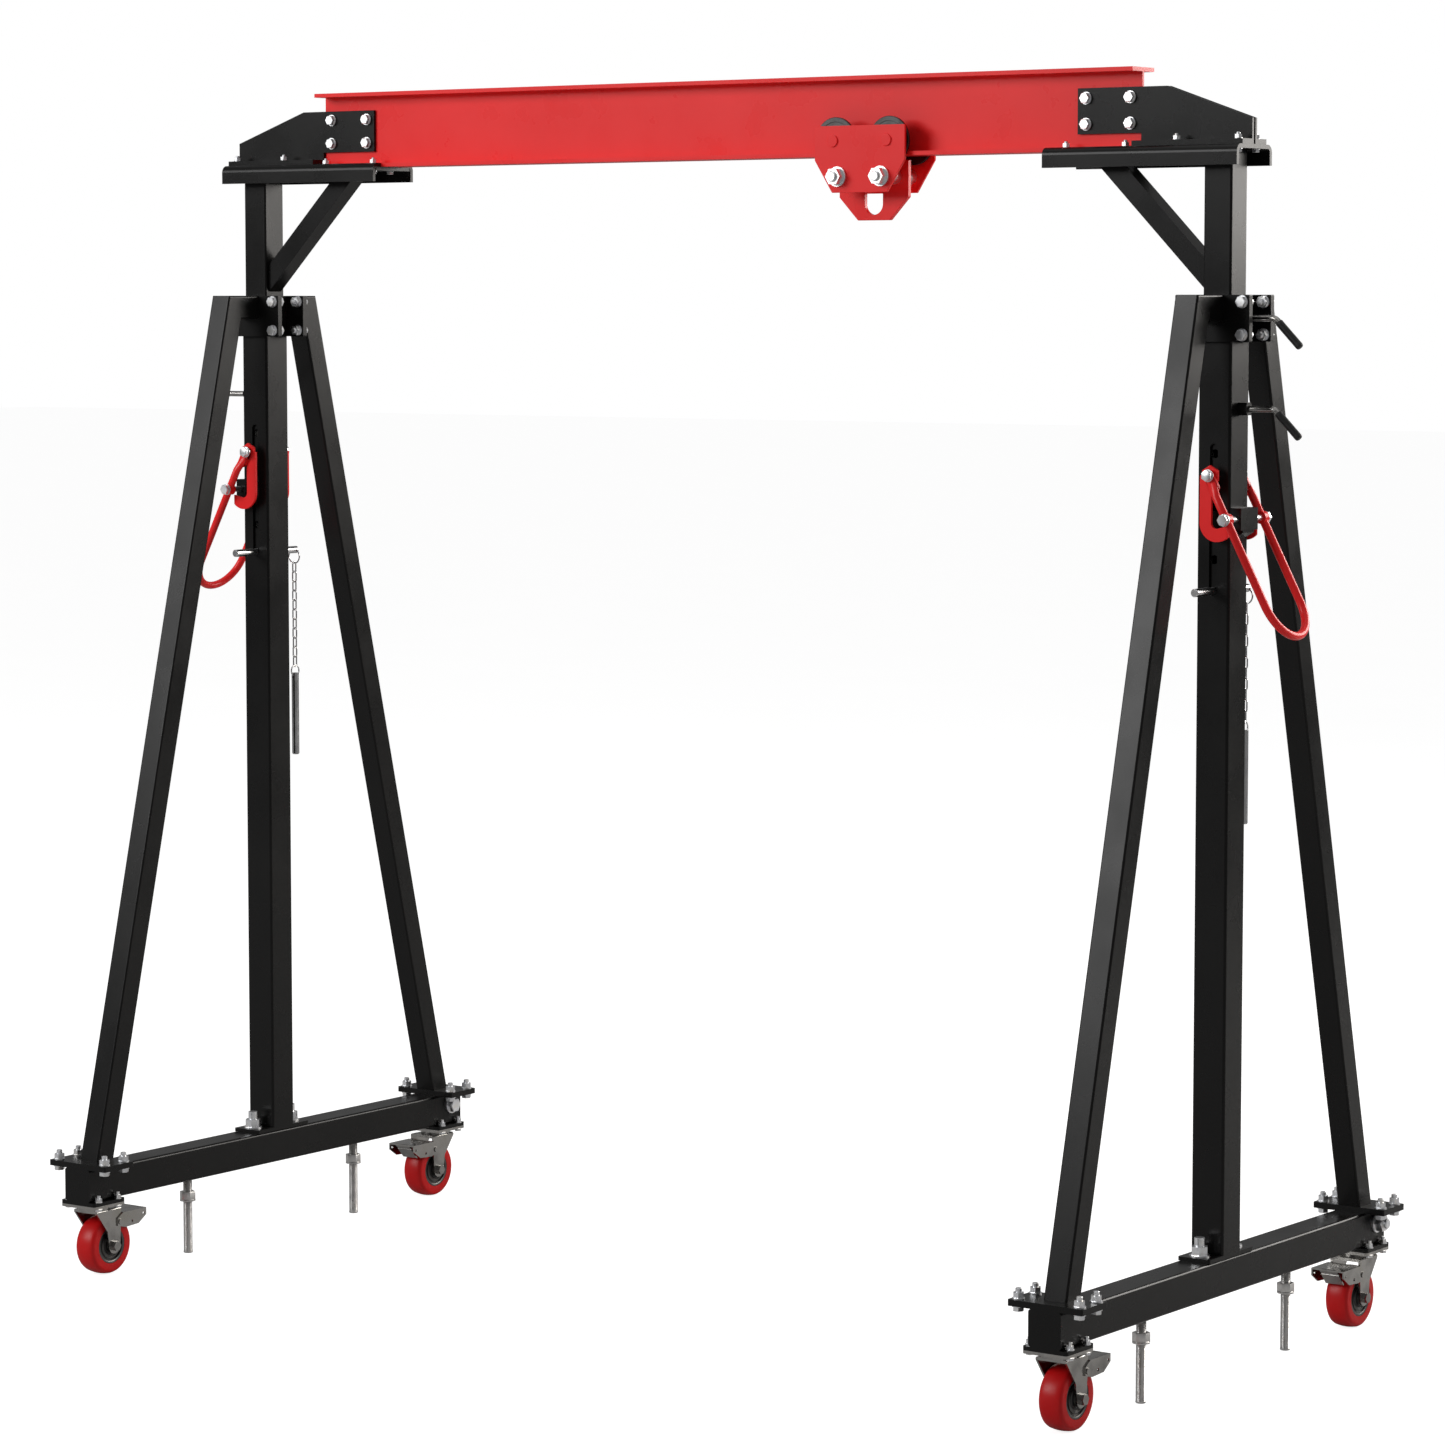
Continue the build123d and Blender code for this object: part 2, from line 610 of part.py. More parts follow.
# ---------------------------------------------------------------- head frames
inner_bottom = pin_height + pin_diameter / 2 + hole_gap
brace_low = post_top + brace_clear
brace_top = channel_under - channel_wall / 2
brace_near = post_x - inner_tube / 2
brace_across = brace_tube * math.sqrt(2)
brace_outline = [
    (brace_near, brace_low),
    (brace_near, brace_low + brace_across),
    (brace_near - (brace_top - brace_low) + brace_across, brace_top),
    (brace_near - (brace_top - brace_low), brace_top),
]
channel_start = post_x - channel_inboard
channel_length = channel_inboard + channel_outboard
pocket_end = beam_half + 2 * seat_clearance
pocket_width = beam_width + 2 * seat_clearance
post_side = Plane((0, 0, 0), x_dir=(1, 0, 0), z_dir=(0, -1, 0))

with BuildPart() as head_frame:
    with BuildSketch(Plane((channel_start, 0, channel_top), x_dir=(0, 1, 0), z_dir=(1, 0, 0))):
        with Locations((0, -channel_depth / 2)):
            RectangleRounded(channel_width, channel_depth, channel_corner)
        with Locations((0, -channel_depth + channel_corner / 2)):
            Rectangle(channel_width, channel_corner)
        with Locations((0, -channel_wall - channel_depth / 2)):
            RectangleRounded(channel_width - 2 * channel_wall, channel_depth, channel_corner - channel_wall,
                             mode=Mode.SUBTRACT)
    extrude(amount=channel_length)
    with BuildSketch(Plane((channel_start, 0, beam_seat - seat_thickness))):
        Rectangle(pocket_end + seat_lap - channel_start, seat_width, align=(Align.MIN, Align.CENTER))
    extrude(amount=channel_top - channel_wall / 2 - beam_seat + seat_thickness)
    with BuildSketch(Plane((channel_start, 0, beam_seat))):
        Rectangle(pocket_end - channel_start, pocket_width, align=(Align.MIN, Align.CENTER))
    extrude(amount=beam_flange, mode=Mode.SUBTRACT)
    with BuildSketch(Plane((post_x, 0, inner_bottom))):
        add(tube(inner_tube, inner_wall, inner_corner))
    extrude(amount=channel_under + channel_wall / 2 - inner_bottom)
    with BuildSketch(post_side):
        with BuildLine():
            Polyline(*brace_outline, close=True)
        make_face()
    extrude(amount=brace_tube / 2, both=True)
    with BuildSketch(post_side):
        with BuildLine():
            Polyline(*brace_outline, close=True)
        make_face()
        offset(amount=-brace_wall, kind=Kind.INTERSECTION, mode=Mode.REPLACE)
    extrude(amount=brace_tube / 2 - brace_wall, both=True, mode=Mode.SUBTRACT)
    vent_z = brace_low + brace_across / 2
    with BuildSketch(Plane((brace_near - 2 * brace_wall, 0, vent_z), x_dir=(0, 1, 0), z_dir=(1, 0, 0))):
        Circle(brace_wall)
    extrude(amount=inner_wall + 3 * brace_wall, mode=Mode.SUBTRACT)
    for index in range(index_holes):
        hole_z = inner_bottom + first_index + index * index_pitch
        with BuildSketch(Plane((post_x, 0, hole_z), x_dir=(1, 0, 0), z_dir=(0, 1, 0))):
            Circle(pin_diameter / 2 + hole_gap)
        extrude(amount=inner_tube, both=True, mode=Mode.SUBTRACT)
    with BuildSketch(Plane((0, 0, beam_seat - seat_thickness))):
        with Locations(*[(post_x - x, y) for x in flange_bolt_x for y in (-flange_bolt_y, flange_bolt_y)]):
            Circle(4 + hole_gap)
        with Locations(*[(post_x - x, y) for x in foot_bolt_x for y in (-foot_bolt_y, foot_bolt_y)]):
            Circle(4 + hole_gap)
    extrude(amount=channel_depth, mode=Mode.SUBTRACT)
write_pair(head_frame.part, "head_frame")

# ---------------------------------------------------------------- I-beam and its brackets
gusset_x = [side * (post_x - x) for side in (-1, 1) for x in gusset_bolt_x]
flange_x = [side * (post_x - x) for side in (-1, 1) for x in flange_bolt_x]
foot_x = [side * (post_x - x) for side in (-1, 1) for x in foot_bolt_x]
beam_bolts = [(x, beam_seat + z) for x in gusset_x for z in gusset_bolt_z]
flange_bolts = [(x, y) for x in flange_x for y in (-flange_bolt_y, flange_bolt_y)]
foot_bolts = [(x, y) for x in foot_x for y in (-foot_bolt_y, foot_bolt_y)]

with BuildPart() as i_beam:
    with BuildSketch(Plane((0, 0, beam_seat), x_dir=(0, 1, 0), z_dir=(1, 0, 0))) as beam_section:
        Rectangle(beam_web, beam_height, align=(Align.CENTER, Align.MIN))
        Rectangle(beam_width, beam_flange, align=(Align.CENTER, Align.MIN))
        with Locations((0, beam_height)):
            Rectangle(beam_width, beam_flange, align=(Align.CENTER, Align.MAX))
        roots = beam_section.vertices().filter_by(lambda v: abs(abs(v.Y) - beam_web / 2) < 0.01)
        fillet(roots, beam_root_radius)
    extrude(amount=beam_half, both=True)
    with BuildSketch(post_side):
        with Locations(*beam_bolts):
            Circle(6 + hole_gap)
    extrude(amount=beam_web, both=True, mode=Mode.SUBTRACT)
    with BuildSketch(Plane.XY.offset(beam_seat)):
        with Locations(*flange_bolts):
            Circle(4 + hole_gap)
    extrude(amount=beam_flange, mode=Mode.SUBTRACT)
write(i_beam.part, "i_beam")

gusset_outline = [
    (post_x - gusset_inboard, beam_seat + gusset_underside),
    (post_x - gusset_inboard, beam_seat + gusset_top),
    (post_x - gusset_slope_start, beam_seat + gusset_top),
    (post_x + gusset_outboard, beam_seat + gusset_outer_height),
    (post_x + gusset_outboard, channel_top),
    (post_x - foot_inboard, channel_top),
    (post_x - foot_inboard, beam_seat + gusset_underside),
]
with BuildPart() as gusset_plates:
    with BuildSketch(Plane((0, beam_web / 2 + gusset_thickness, 0), x_dir=(1, 0, 0), z_dir=(0, -1, 0))):
        with BuildLine():
            Polyline(*gusset_outline, close=True)
        make_face()
        with Locations(*beam_bolts):
            Circle(6 + hole_gap, mode=Mode.SUBTRACT)
    extrude(amount=gusset_thickness)
    with BuildSketch(Plane.XY.offset(channel_top)):
        with Locations((post_x - foot_inboard, beam_web / 2)):
            Rectangle(foot_inboard + gusset_outboard, foot_width - beam_web / 2, align=(Align.MIN, Align.MIN))
        with Locations(*foot_bolts):
            Circle(4 + hole_gap, mode=Mode.SUBTRACT)
    extrude(amount=foot_thickness)
    mirror(about=Plane.XZ)
    mirror(about=Plane.YZ)
write(gusset_plates.part, "gusset_plates")

gusset_grip = beam_web + 2 * gusset_thickness
gusset_bolt = fastener(12, 19, 8, gusset_grip, 10, 4)
foot_bolt = fastener(8, 13, 5, channel_wall + foot_thickness, 6.5, 4)
flange_bolt = fastener(8, 13, 5, seat_thickness + beam_flange, 6.5, 4)
with BuildPart() as bridge_bolts:
    for x, z in beam_bolts:
        with Locations(Plane((x, -gusset_grip / 2, z), x_dir=(1, 0, 0), z_dir=(0, 1, 0))):
            add(gusset_bolt)
    for x, y in foot_bolts:
        with Locations((x, y, channel_under)):
            add(foot_bolt)
    for x, y in flange_bolts:
        with Locations((x, y, beam_seat - seat_thickness)):
            add(flange_bolt)
write(bridge_bolts.part, "bridge_bolts")

# ---------------------------------------------------------------- trolley
trolley_outline = [
    (-trolley_half_top, trolley_top),
    (trolley_half_top, trolley_top),
    (trolley_half_top, -trolley_shoulder),
    (trolley_half_bottom, -trolley_bottom),
    (-trolley_half_bottom, -trolley_bottom),
    (-trolley_half_top, -trolley_shoulder),
]
wheel_spots = [(-trolley_wheelbase / 2, axle_z - beam_seat), (trolley_wheelbase / 2, axle_z - beam_seat)]
bolt_spots = [(-trolley_bolt_x, -trolley_bolt_z), (trolley_bolt_x, -trolley_bolt_z)]
axle_collar = 2.0
with BuildPart() as side_plates:
    with BuildSketch(Plane((trolley_x, -trolley_inner, beam_seat), x_dir=(1, 0, 0), z_dir=(0, -1, 0))):
        with BuildLine():
            Polyline(*trolley_outline, close=True)
        make_face()
        with Locations(*bolt_spots):
            Circle(trolley_bolt / 2 + hole_gap, mode=Mode.SUBTRACT)
    extrude(amount=trolley_plate)
    with BuildSketch(Plane((trolley_x, -trolley_outer, beam_seat), x_dir=(1, 0, 0), z_dir=(0, -1, 0))):
        with Locations(*wheel_spots):
            Circle(rivet_head / 2)
    extrude(amount=3)
    axle_start = tread_start - face_gap
    with BuildSketch(Plane((trolley_x, -axle_start, beam_seat), x_dir=(1, 0, 0), z_dir=(0, -1, 0))):
        with Locations(*wheel_spots):
            Circle(trolley_axle / 2)
    extrude(amount=trolley_outer - axle_start)
    collar_end = axle_collar - axle_start
    with BuildSketch(Plane((trolley_x, collar_end, beam_seat), x_dir=(1, 0, 0), z_dir=(0, -1, 0))):
        with Locations(*wheel_spots):
            Circle(trolley_axle / 2 + 3)
    extrude(amount=axle_collar)
    mirror(about=Plane.XZ)
write(side_plates.part, "trolley_side_plates")

rim_start = beam_width / 2 + 1.5 - tread_start
wheel_end = trolley_inner - face_gap - tread_start
with BuildPart() as trolley_wheel:
    with BuildSketch():
        Circle(tread_radius)
    extrude(amount=rim_start)
    with BuildSketch(Plane.XY.offset(rim_start)):
        Circle(rim_radius)
    extrude(amount=rim_width)
    chamfer(trolley_wheel.faces().sort_by(Axis.Z)[-1].edges(), 1)
    with BuildSketch(Plane.XY.offset(rim_start)):
        Circle(trolley_axle * 0.75)
    extrude(amount=wheel_end - rim_start)
    with BuildSketch():
        Circle(trolley_axle / 2 + run_fit)
    extrude(amount=wheel_end, mode=Mode.SUBTRACT)
for side, name in ((-1, "front"), (1, "rear")):
    for (x, z), end in zip(wheel_spots, ("left", "right")):
        hub = Plane((trolley_x + x, side * tread_start, beam_seat + z), z_dir=(0, side, 0))
        write(hub.location * trolley_wheel.part, f"trolley_{name}_{end}_wheel")

with BuildPart() as load_plate:
    with BuildSketch(Plane((trolley_x, 0, beam_seat), x_dir=(1, 0, 0), z_dir=(0, -1, 0))):
        with BuildLine():
            Polyline(
                (-load_plate_half, -load_plate_drop),
                (load_plate_half, -load_plate_drop),
                (load_plate_half, load_plate_taper - load_plate_bottom),
                (load_plate_tip, -load_plate_bottom),
                (-load_plate_tip, -load_plate_bottom),
                (-load_plate_half, load_plate_taper - load_plate_bottom),
                close=True,
            )
        make_face()
        with Locations((0, -load_plate_bottom + eye_floor + (eye_width + eye_rise) / 2)):
            SlotOverall(eye_width + eye_rise, eye_width, rotation=90, mode=Mode.SUBTRACT)
        with Locations(*bolt_spots):
            Circle(trolley_bolt / 2 + hole_gap, mode=Mode.SUBTRACT)
    extrude(amount=load_plate_thickness / 2, both=True)
write(load_plate.part, "load_plate")

trolley_bolt_set = fastener(trolley_bolt, 30, 12.5, 2 * trolley_outer, 16, 5)
with BuildPart() as trolley_bolts:
    for x, z in bolt_spots:
        through = Plane((trolley_x + x, trolley_outer, beam_seat + z), x_dir=(1, 0, 0), z_dir=(0, -1, 0))
        with Locations(through):
            add(trolley_bolt_set)
        for sleeve_start in (-trolley_inner, load_plate_thickness / 2):
            with BuildSketch(Plane((trolley_x + x, sleeve_start, beam_seat + z), z_dir=(0, 1, 0))):
                Circle(trolley_bolt * 0.75)
            extrude(amount=trolley_inner - load_plate_thickness / 2)
write(trolley_bolts.part, "trolley_bolts")

# ---------------------------------------------------------------- casters, about their swivel axis
wheel_radius = wheel_diameter / 2
half_wheel = wheel_width / 2
arm_inner = half_wheel + fork_gap
arm_outer = arm_inner + fork_thickness
crown_top = wheel_diameter + crown_gap + crown_thickness
fork_front = -24.0
fork_back = 50.0
arm_end_radius = 17.0
pedal_pivot = (fork_back - 6, wheel_diameter - 13)
cheek_inner = arm_outer + face_gap
cheek_outer = cheek_inner + pedal_sheet
axle_line = Plane((0, caster_trail, wheel_radius), x_dir=(0, 1, 0), z_dir=(1, 0, 0))
wheel_section = Plane((0, caster_trail, wheel_radius), x_dir=(1, 0, 0), z_dir=(0, -1, 0))
side_view = Plane((0, 0, 0), x_dir=(0, 1, 0), z_dir=(1, 0, 0))

with BuildPart() as tyre:
    with BuildSketch(wheel_section):
        with BuildLine():
            crown_arc = ThreePointArc((-half_wheel + 6, wheel_radius - 2.5), (0, wheel_radius),
                                      (half_wheel - 6, wheel_radius - 2.5))
            right_shoulder = ThreePointArc(crown_arc @ 1, (half_wheel - 1.6, wheel_radius - 5),
                                           (half_wheel, wheel_radius - 10))
            base_line = Polyline(right_shoulder @ 1, (half_wheel, hub_diameter / 2),
                                 (-half_wheel, hub_diameter / 2), (-half_wheel, wheel_radius - 10))
            ThreePointArc(base_line @ 1, (-half_wheel + 1.6, wheel_radius - 5), crown_arc @ 0)
        make_face()
    revolve(axis=Axis(axle_line.origin, (1, 0, 0)))

with BuildPart() as hub:
    with BuildSketch(axle_line):
        Circle(hub_diameter / 2)
    extrude(amount=half_wheel - 1, both=True)
    for outer, inner, depth in ((0.92, 0.86, 4), (0.72, 0.66, 4), (0.54, 0.46, 3)):
        for side in (-1, 1):
            with BuildSketch(axle_line.offset(side * (half_wheel - depth))):
                Circle(outer * hub_diameter / 2)
                Circle(inner * hub_diameter / 2, mode=Mode.SUBTRACT)
            extrude(amount=side * depth, mode=Mode.SUBTRACT)
    with BuildSketch(axle_line):
        Circle(axle_diameter)
    extrude(amount=arm_inner - face_gap, both=True)
    with BuildSketch(axle_line):
        Circle(axle_diameter / 2 + run_fit)
    extrude(amount=arm_inner, both=True, mode=Mode.SUBTRACT)

with BuildPart() as fork:
    with BuildSketch(Plane((0, fork_front, crown_top - crown_thickness))):
        Rectangle(2 * arm_outer, fork_back - fork_front, align=(Align.CENTER, Align.MIN))
    extrude(amount=crown_thickness)
    for side in (-1, 1):
        with BuildSketch(Plane((side * arm_inner, 0, 0), x_dir=(0, 1, 0), z_dir=(side, 0, 0))):
            height_way = side
            with BuildLine():
                Polyline(
                    (fork_front, height_way * crown_top),
                    (fork_front, height_way * (crown_top - crown_thickness)),
                    (caster_trail - arm_end_radius - 4, height_way * (wheel_radius + 32)),
                    (caster_trail - arm_end_radius, height_way * wheel_radius),
                    (caster_trail + arm_end_radius, height_way * wheel_radius),
                    (fork_back, height_way * (crown_top - crown_thickness)),
                    (fork_back, height_way * crown_top),
                    close=True,
                )
            make_face()
            with Locations((caster_trail, height_way * wheel_radius)):
                Circle(arm_end_radius)
        extrude(amount=fork_thickness)
    crown_edges = fork.edges().filter_by(Axis.Y).filter_by(
        lambda e: abs(abs(e.center().X) - arm_outer) < 0.01 and abs(e.center().Z - crown_top) < 0.01
    )
    fillet(crown_edges, fork_thickness - 0.5)
    with BuildSketch(Plane.XY.offset(crown_top)):
        Circle(race_diameter / 2)
    extrude(amount=race_height - face_gap)
    with BuildSketch(axle_line):
        Circle(axle_diameter / 2)
    extrude(amount=cheek_outer, both=True)
    for side in (-1, 1):
        with BuildSketch(axle_line.offset(side * arm_outer)):
            add(hexagon(19))
        extrude(amount=side * 9)
    for side in (-1, 1):
        with BuildSketch(Plane((side * arm_inner, pedal_pivot[0], pedal_pivot[1]), z_dir=(side, 0, 0))):
            Circle(pedal_pin / 2)
        extrude(amount=cheek_outer + 1 - arm_inner)
        with BuildSketch(Plane((side * (cheek_outer + face_gap), pedal_pivot[0], pedal_pivot[1]),
                               z_dir=(side, 0, 0))):
            Circle(pedal_pin * 0.75)
        extrude(amount=2)

pedal_edge = pedal_pivot[0] + pedal_length
pedal_side = [
    (pedal_pivot[0] - 8, pedal_pivot[1] - 8),
    (pedal_pivot[0] - 8, pedal_pivot[1] + 8),
    (pedal_pivot[0] + 9, pedal_pivot[1] + 19),
    (pedal_edge, pedal_pivot[1] + 19),
    (pedal_edge, pedal_pivot[1] + 4),
    (pedal_edge - 24, pedal_pivot[1] - 12),
    (pedal_pivot[0] + 16, pedal_pivot[1] - 14),
]
with BuildPart() as brake_pedal:
    with BuildSketch(side_view):
        with BuildLine():
            Polyline(*pedal_side, close=True)
        make_face()
    extrude(amount=cheek_outer, both=True)
    with BuildSketch(side_view):
        with Locations((pedal_pivot[0] - 20, pedal_pivot[1] + 19 - pedal_sheet)):
            Rectangle(pedal_length + 40, 60, align=(Align.MIN, Align.MAX))
    extrude(amount=cheek_inner, both=True, mode=Mode.SUBTRACT)
    with BuildSketch(Plane((0, pedal_pivot[0] + 9, pedal_pivot[1] + 30))):
        Rectangle(2 * cheek_inner, 60, align=(Align.CENTER, Align.MAX))
    extrude(amount=-60, mode=Mode.SUBTRACT)
    with BuildSketch(side_view):
        with BuildLine():
            tongue = Line((pedal_edge - 3, pedal_pivot[1] + 18), (pedal_edge - 3 - 28, pedal_pivot[1] - 14))
            offset(amount=pedal_sheet / 2)
        make_face()
    extrude(amount=20, both=True)
    with BuildSketch(side_view):
        with Locations(pedal_pivot):
            Circle(pedal_pin / 2 + run_fit)
    extrude(amount=cheek_outer, both=True, mode=Mode.SUBTRACT)
    for y, z in ((40, -2), (76, 10)):
        with BuildSketch(side_view):
            with Locations((pedal_pivot[0] + y - 4, pedal_pivot[1] + z - 2)):
                Circle(3)
        extrude(amount=cheek_outer, both=True, mode=Mode.SUBTRACT)

for x, side in ((post_x, "right"), (-post_x, "left")):
    for y, turn, end in ((-caster_y, 0, "front"), (caster_y, 180, "rear")):
        spot = Location((x, y, 0), (0, 0, turn))
        write(spot * fork.part, f"{side}_{end}_fork")
        write(spot * tyre.part, f"{side}_{end}_tyre")
        write(spot * hub.part, f"{side}_{end}_hub")
        write(spot * brake_pedal.part, f"{side}_{end}_brake_pedal")
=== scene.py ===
import json
import math

import bmesh
import bpy
from mathutils import Matrix, Vector


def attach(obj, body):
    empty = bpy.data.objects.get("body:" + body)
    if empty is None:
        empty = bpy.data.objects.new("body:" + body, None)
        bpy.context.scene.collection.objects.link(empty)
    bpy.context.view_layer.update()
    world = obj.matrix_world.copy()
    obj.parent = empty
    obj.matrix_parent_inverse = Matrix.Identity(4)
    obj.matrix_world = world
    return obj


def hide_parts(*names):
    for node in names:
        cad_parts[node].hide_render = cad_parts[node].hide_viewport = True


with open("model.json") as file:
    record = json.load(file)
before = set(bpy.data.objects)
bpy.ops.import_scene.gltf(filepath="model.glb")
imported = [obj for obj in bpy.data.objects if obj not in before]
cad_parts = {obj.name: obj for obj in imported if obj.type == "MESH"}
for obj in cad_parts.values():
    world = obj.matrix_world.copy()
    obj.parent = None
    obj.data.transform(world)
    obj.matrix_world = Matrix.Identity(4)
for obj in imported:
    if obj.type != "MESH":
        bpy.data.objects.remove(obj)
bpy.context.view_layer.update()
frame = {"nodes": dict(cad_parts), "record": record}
cadNodes = frame["nodes"]
sides = ("left", "right")
ends = ("front", "rear")
sideSign = {"left": -1, "right": 1}

# shared by many pieces: lengths in metres, angles in degrees, steps round a turned shape
meshCare = {"merge": 0.000002, "smooth": 35}
turnSteps = {"rod": 28, "washer": 36}
noiseSpread = (0.3, 0.7)  # the part of a noise field that carries nearly all of its values
relief = {"smear": (0.08, 0.0006), "cloud": (0.1, 0.0005), "grain": 0.0003, "streak": 0.0002}


def startMaterial(name, roughness, metallic):
    material = bpy.data.materials.new(name)
    material.use_nodes = True
    tree = material.node_tree
    shader = tree.nodes["Principled BSDF"]
    shader.inputs["Roughness"].default_value = roughness
    shader.inputs["Metallic"].default_value = metallic
    place = tree.nodes.new("ShaderNodeTexCoord").outputs["Object"]
    return material, tree, shader, place


def addNoise(tree, place, scale, detail=4.0, stretch=(1, 1, 1)):
    mapping = tree.nodes.new("ShaderNodeMapping")
    mapping.inputs["Scale"].default_value = stretch
    tree.links.new(place, mapping.inputs["Vector"])
    noise = tree.nodes.new("ShaderNodeTexNoise")
    noise.inputs["Scale"].default_value = scale
    noise.inputs["Detail"].default_value = detail
    tree.links.new(mapping.outputs["Vector"], noise.inputs["Vector"])
    return noise.outputs["Fac"]


def addRamp(tree, value, stops):
    ramp = tree.nodes.new("ShaderNodeValToRGB")
    while len(ramp.color_ramp.elements) < len(stops):
        ramp.color_ramp.elements.new(0.5)
    for element, (spot, colour) in zip(ramp.color_ramp.elements, stops):
        element.position = spot
        element.color = (*colour, 1)
    tree.links.new(value, ramp.inputs["Fac"])
    return ramp.outputs["Color"]


def addClouds(tree, value, look):
    return addRamp(tree, value, list(zip(noiseSpread, (look["dark"], look["light"]))))


def addRange(tree, value, low, high):
    spread = tree.nodes.new("ShaderNodeMapRange")
    spread.inputs["From Min"].default_value, spread.inputs["From Max"].default_value = noiseSpread
    spread.inputs["To Min"].default_value = low
    spread.inputs["To Max"].default_value = high
    tree.links.new(value, spread.inputs["Value"])
    return spread.outputs["Result"]


def addDullness(tree, shader, value, look):
    lowest, highest = look["roughness"] - look["smear"], look["roughness"] + look["smear"]
    tree.links.new(addRange(tree, value, lowest, highest), shader.inputs["Roughness"])


def addBump(tree, shader, heights):
    # each height field is (value, strength, distance in metres), the coarsest first
    normal = None
    for value, strength, distance in heights:
        bump = tree.nodes.new("ShaderNodeBump")
        bump.inputs["Strength"].default_value = strength
        bump.inputs["Distance"].default_value = distance
        tree.links.new(value, bump.inputs["Height"])
        if normal is not None:
            tree.links.new(normal, bump.inputs["Normal"])
        normal = bump.outputs["Normal"]
    tree.links.new(normal, shader.inputs["Normal"])


def setCoat(shader, look):
    shader.inputs["Coat Weight"].default_value = look["coat"]
    shader.inputs["Coat Roughness"].default_value = look["coatRoughness"]
    shader.inputs["Specular IOR Level"].default_value = look["gloss"]


def paintedSteel(name, look):
    material, tree, shader, place = startMaterial(name, look["roughness"], 0)
    cloud = addNoise(tree, place, look["cloudScale"])
    tree.links.new(addClouds(tree, cloud, look), shader.inputs["Base Color"])
    smear = addNoise(tree, place, look["smearScale"], 6)
    addDullness(tree, shader, smear, look)
    grain = addNoise(tree, place, look["grainScale"], 2)
    addBump(tree, shader, [(smear, *relief["smear"]), (grain, look["grain"], relief["grain"])])
    setCoat(shader, look)
    return material


def platedSteel(name, look):
    material, tree, shader, place = startMaterial(name, look["roughness"], 1)
    cloud = addNoise(tree, place, look["cloudScale"], 5)
    tones = [(0.25, look["dark"]), (0.5, look["light"]), (0.75, look["tint"])]
    tree.links.new(addRamp(tree, cloud, tones), shader.inputs["Base Color"])
    streak = addNoise(tree, place, look["streakScale"], 3, look["stretch"])
    addDullness(tree, shader, streak, look)
    addBump(tree, shader, [(cloud, *relief["cloud"]), (streak, look["grain"], relief["streak"])])
    return material


def mouldedRubber(name, look):
    material, tree, shader, place = startMaterial(name, look["roughness"], 0)
    cloud = addNoise(tree, place, look["cloudScale"])
    tree.links.new(addClouds(tree, cloud, look), shader.inputs["Base Color"])
    grain = addNoise(tree, place, look["grainScale"], 3)
    addDullness(tree, shader, grain, look)
    addBump(tree, shader, [(grain, look["grain"], relief["grain"])])
    setCoat(shader, look)
    return material


blackLook = {"roughness": 0.28, "smear": 0.04, "cloudScale": 3, "smearScale": 9, "grainScale": 900,
             "grain": 0.05, "coat": 0.03, "coatRoughness": 0.2, "gloss": 0.19,
             "dark": (0.0042, 0.0041, 0.0040), "light": (0.0070, 0.0068, 0.0065)}
redLook = {"roughness": 0.3, "smear": 0.05, "cloudScale": 4, "smearScale": 12, "grainScale": 700,
           "grain": 0.04, "coat": 0.06, "coatRoughness": 0.15, "gloss": 0.24,
           "dark": (0.92, 0.018, 0.019), "light": (0.98, 0.024, 0.025)}
zincLook = {"roughness": 0.18, "smear": 0.05, "cloudScale": 22, "streakScale": 240, "stretch": (1, 1, 6),
            "grain": 0.1, "dark": (0.24, 0.235, 0.225), "light": (0.4, 0.39, 0.375),
            "tint": (0.36, 0.345, 0.31)}
boltLook = {"roughness": 0.36, "smear": 0.06, "cloudScale": 60, "streakScale": 500, "stretch": (1, 1, 1),
            "grain": 0.12, "dark": (0.72, 0.73, 0.76), "light": (0.88, 0.89, 0.91),
            "tint": (0.8, 0.78, 0.74)}
pinLook = {"roughness": 0.2, "smear": 0.06, "cloudScale": 30, "streakScale": 420, "stretch": (5, 0.3, 5),
           "grain": 0.1, "dark": (0.5, 0.5, 0.51), "light": (0.74, 0.74, 0.75),
           "tint": (0.68, 0.67, 0.64)}
rodLook = {"roughness": 0.34, "smear": 0.08, "cloudScale": 40, "streakScale": 300, "stretch": (1, 1, 1),
           "grain": 0.2, "dark": (0.5, 0.495, 0.49), "light": (0.7, 0.69, 0.68),
           "tint": (0.6, 0.58, 0.55)}
ironLook = {"roughness": 0.4, "smear": 0.08, "cloudScale": 35, "streakScale": 260, "stretch": (1, 1, 1),
            "grain": 0.25, "dark": (0.035, 0.035, 0.036), "light": (0.07, 0.07, 0.07),
            "tint": (0.055, 0.052, 0.05)}
hubLook = {"roughness": 0.38, "smear": 0.07, "cloudScale": 50, "streakScale": 380, "stretch": (1, 1, 1),
           "grain": 0.2, "dark": (0.075, 0.073, 0.071), "light": (0.13, 0.127, 0.124),
           "tint": (0.11, 0.106, 0.1)}
gripLook = {"roughness": 0.55, "smear": 0.06, "cloudScale": 30, "grainScale": 900, "grain": 0.25,
            "coat": 0.0, "coatRoughness": 0.25, "gloss": 0.5,
            "dark": (0.006, 0.006, 0.006), "light": (0.014, 0.014, 0.014)}
treadLook = {"roughness": 0.36, "smear": 0.06, "cloudScale": 12, "grainScale": 500, "grain": 0.06,
             "coat": 0.0, "coatRoughness": 0.25, "gloss": 0.25,
             "dark": (0.5, 0.004, 0.005), "light": (0.6, 0.007, 0.008)}
